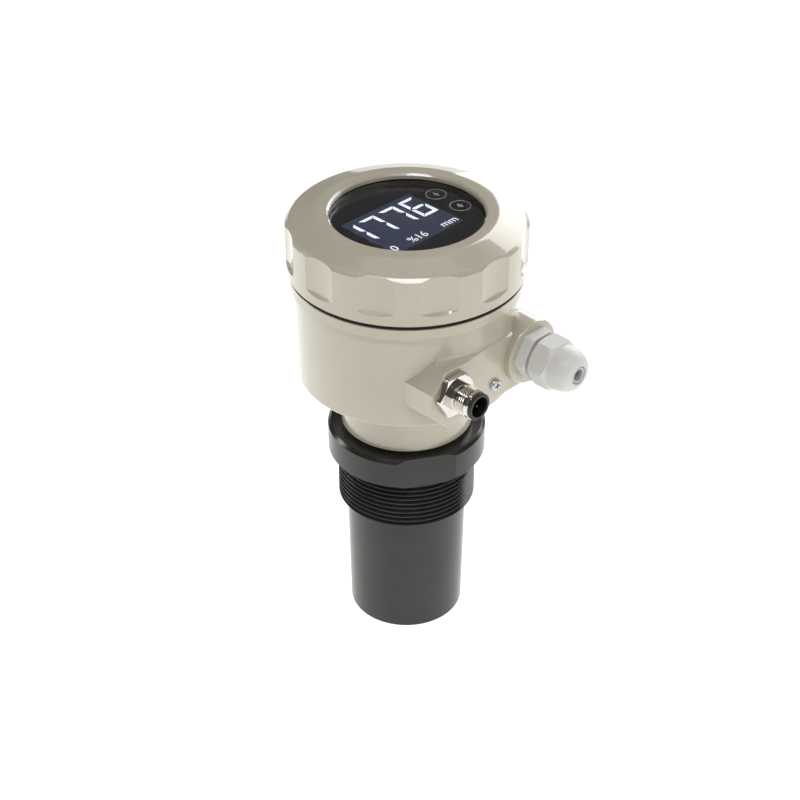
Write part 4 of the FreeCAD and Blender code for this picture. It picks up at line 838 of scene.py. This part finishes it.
def makeCoverSeal(size):
    ring = copyNode("cover_seal", "coverSeal")
    edge = size["edge"]
    # the lip: a dark ring laid in the joint gap as painted shade
    lip = turnProfile("jointShadeRing", [
        (size["inner"], size["low"]), (size["outer"], size["low"]), (size["outer"], size["high"] - edge),
        (size["outer"] - edge, size["high"]), (size["inner"], size["high"])], 160)
    return joinPieces("coverSeal", [ring, smoothPiece(lip, 30)])


finishPiece(makeCoverSeal(jointShadeLip), "transmitter", rubber, ["cover_seal"])
print("cover seal made")

# everything else keeps the CAD shape, shaded smooth
plainNodes = [
    ("neck_seal", "neckSeal", "transmitter", "black_rubber", rubber, 0),
    ("matching_layer", "matchingLayer", "transmitter", "face_polymer", faceEpoxy, 0),
    ("piezo_disc", "piezoDisc", "transmitter", "piezo_ceramic", ceramic, 0.1),
    ("backing_pad", "backingPad", "transmitter", "dark_resin", resin, 0.2),
    ("potting", "potting", "transmitter", "dark_resin", resin, 0),
    ("sensor_lead", "sensorLead", "transmitter", "grey_cable", cableJacket, 0),
    ("lead_plug", "leadPlug", "transmitter", "white_nylon", whiteNylon, 0.3),
    ("main_board", "mainBoard", "transmitter", "board_laminate", boardMask, 0),
    # the display board takes the pale grey with painted light, which lifts it out of the shade under the cover
    ("display_board", "displayBoard", "transmitter", "board_laminate", paleGreyBoardPaintedLight, 0),
    ("board_screws", "boardScrews", "transmitter", "steel", zincSteel, 0.3),
    ("display_screws", "displayScrews", "transmitter", "steel", zincSteel, 0.3),
    ("terminal_screws", "terminalScrews", "transmitter", "steel", zincSteel, 0.2),
    ("terminal_block", "terminalBlock", "transmitter", "green_nylon", greenNylon, 0.3),
    ("standoffs", "standoffs", "transmitter", "nickel_plate", nickel, 0.2),
    ("key_switches", "keySwitches", "transmitter", "black_nylon", blackNylon, 0.1),
]
for node, name, body, slot, material, edge in plainNodes:
    finishPiece(copyNode(node, name, edge), body, material, [node])
print("inner pieces made")

# stage: glowing pale floor, faint sky, soft boxes placed for the bright bands on the cover
studio = {"floorSize": 12.0, "floorColour": "f4f4f2", "floorGlow": 1.2, "skyStrength": 0.1}


def makeFloor():
    clearSelection()
    bpy.ops.mesh.primitive_plane_add(size=studio["floorSize"], location=(0, 0, 0))
    floor = bpy.context.object
    floor.name = "studioFloor"
    # matt backdrop paper: even and pale, with the faintest cloud
    floor.data.materials.append(grainMaterial("paleStudioPaper", ("8c8c8a", "90908e"), 300, (0.75, 0.85), 4, 0.01, **{
        "Specular IOR Level": 0.1, "Emission Color": linearColour(studio["floorColour"]),
        "Emission Strength": studio["floorGlow"]}))


def makeSky():
    world = bpy.data.worlds.new("softStudio")
    world.use_nodes = True
    world.node_tree.nodes["Background"].inputs["Color"].default_value = (1, 1, 1, 1)
    world.node_tree.nodes["Background"].inputs["Strength"].default_value = studio["skyStrength"]
    bpy.context.scene.world = world


# name, place, aim, sides in metres, watts
softBoxes = [
    ("leftBox", (-1.2, -0.15, 0.5), (0, 0, 0.14), (0.9, 0.8), 0.4),
    ("rightBox", (0.15, -1.2, 0.5), (0, 0, 0.14), (0.9, 0.8), 3.2),
    ("rearRightBox", (1.093, 0.163, 0.664), (0, 0, 0.195), (1.0, 0.83), 9.6),
    ("rearLowBox", (1.042, 0.577, 0.341), (0, 0, 0.195), (0.42, 0.34), 1.1),
    ("frontTopBox", (-0.406, -0.264, 1.06), (0, 0, 0.19), (0.8, 0.14), 3.4),
    ("topBox", (0, 0, 1.9), (0, 0, 0), (2.0, 2.0), 7.5),
    ("rearStrip", (-0.5, 0.87, 0.3), (0, 0, 0.14), (0.2, 0.7), 3.0),
]


def makeSoftBox(name, location, target, size, power):
    clearSelection()
    bpy.ops.object.light_add(type="AREA", location=location)
    box = bpy.context.object
    box.name = name
    box.data.shape = "RECTANGLE"
    box.data.size, box.data.size_y = size
    box.data.energy = power
    box.rotation_euler = (Vector(target) - Vector(location)).to_track_quat("-Z", "Y").to_euler()


# camera: fitted to the photograph; along and across are in the camera's own plan
shot = {"across": -2.85, "along": -657.6, "height": 555.5, "pitchDown": 34.33, "focalPixels": 1855.0,
        "imagePixels": 800, "sensor": 36.0, "heading": -45.0}


def makeCamera():
    clearSelection()
    diagonal = math.sqrt(0.5)
    x = (shot["across"] + shot["along"]) * diagonal
    y = (shot["along"] - shot["across"]) * diagonal
    bpy.ops.object.camera_add(location=(x * mm, y * mm, shot["height"] * mm),
                              rotation=(math.radians(90 - shot["pitchDown"]), 0, math.radians(shot["heading"])))
    camera = bpy.context.object
    camera.data.sensor_width = shot["sensor"]
    camera.data.lens = shot["focalPixels"] * shot["sensor"] / shot["imagePixels"]
    camera.data.clip_start = 0.01
    bpy.context.scene.camera = camera


makeFloor()
makeSky()
for box in softBoxes:
    makeSoftBox(*box)
makeCamera()
bpy.context.scene.view_settings.view_transform = "Standard"
print("stage made")

bpy.context.view_layer.update()
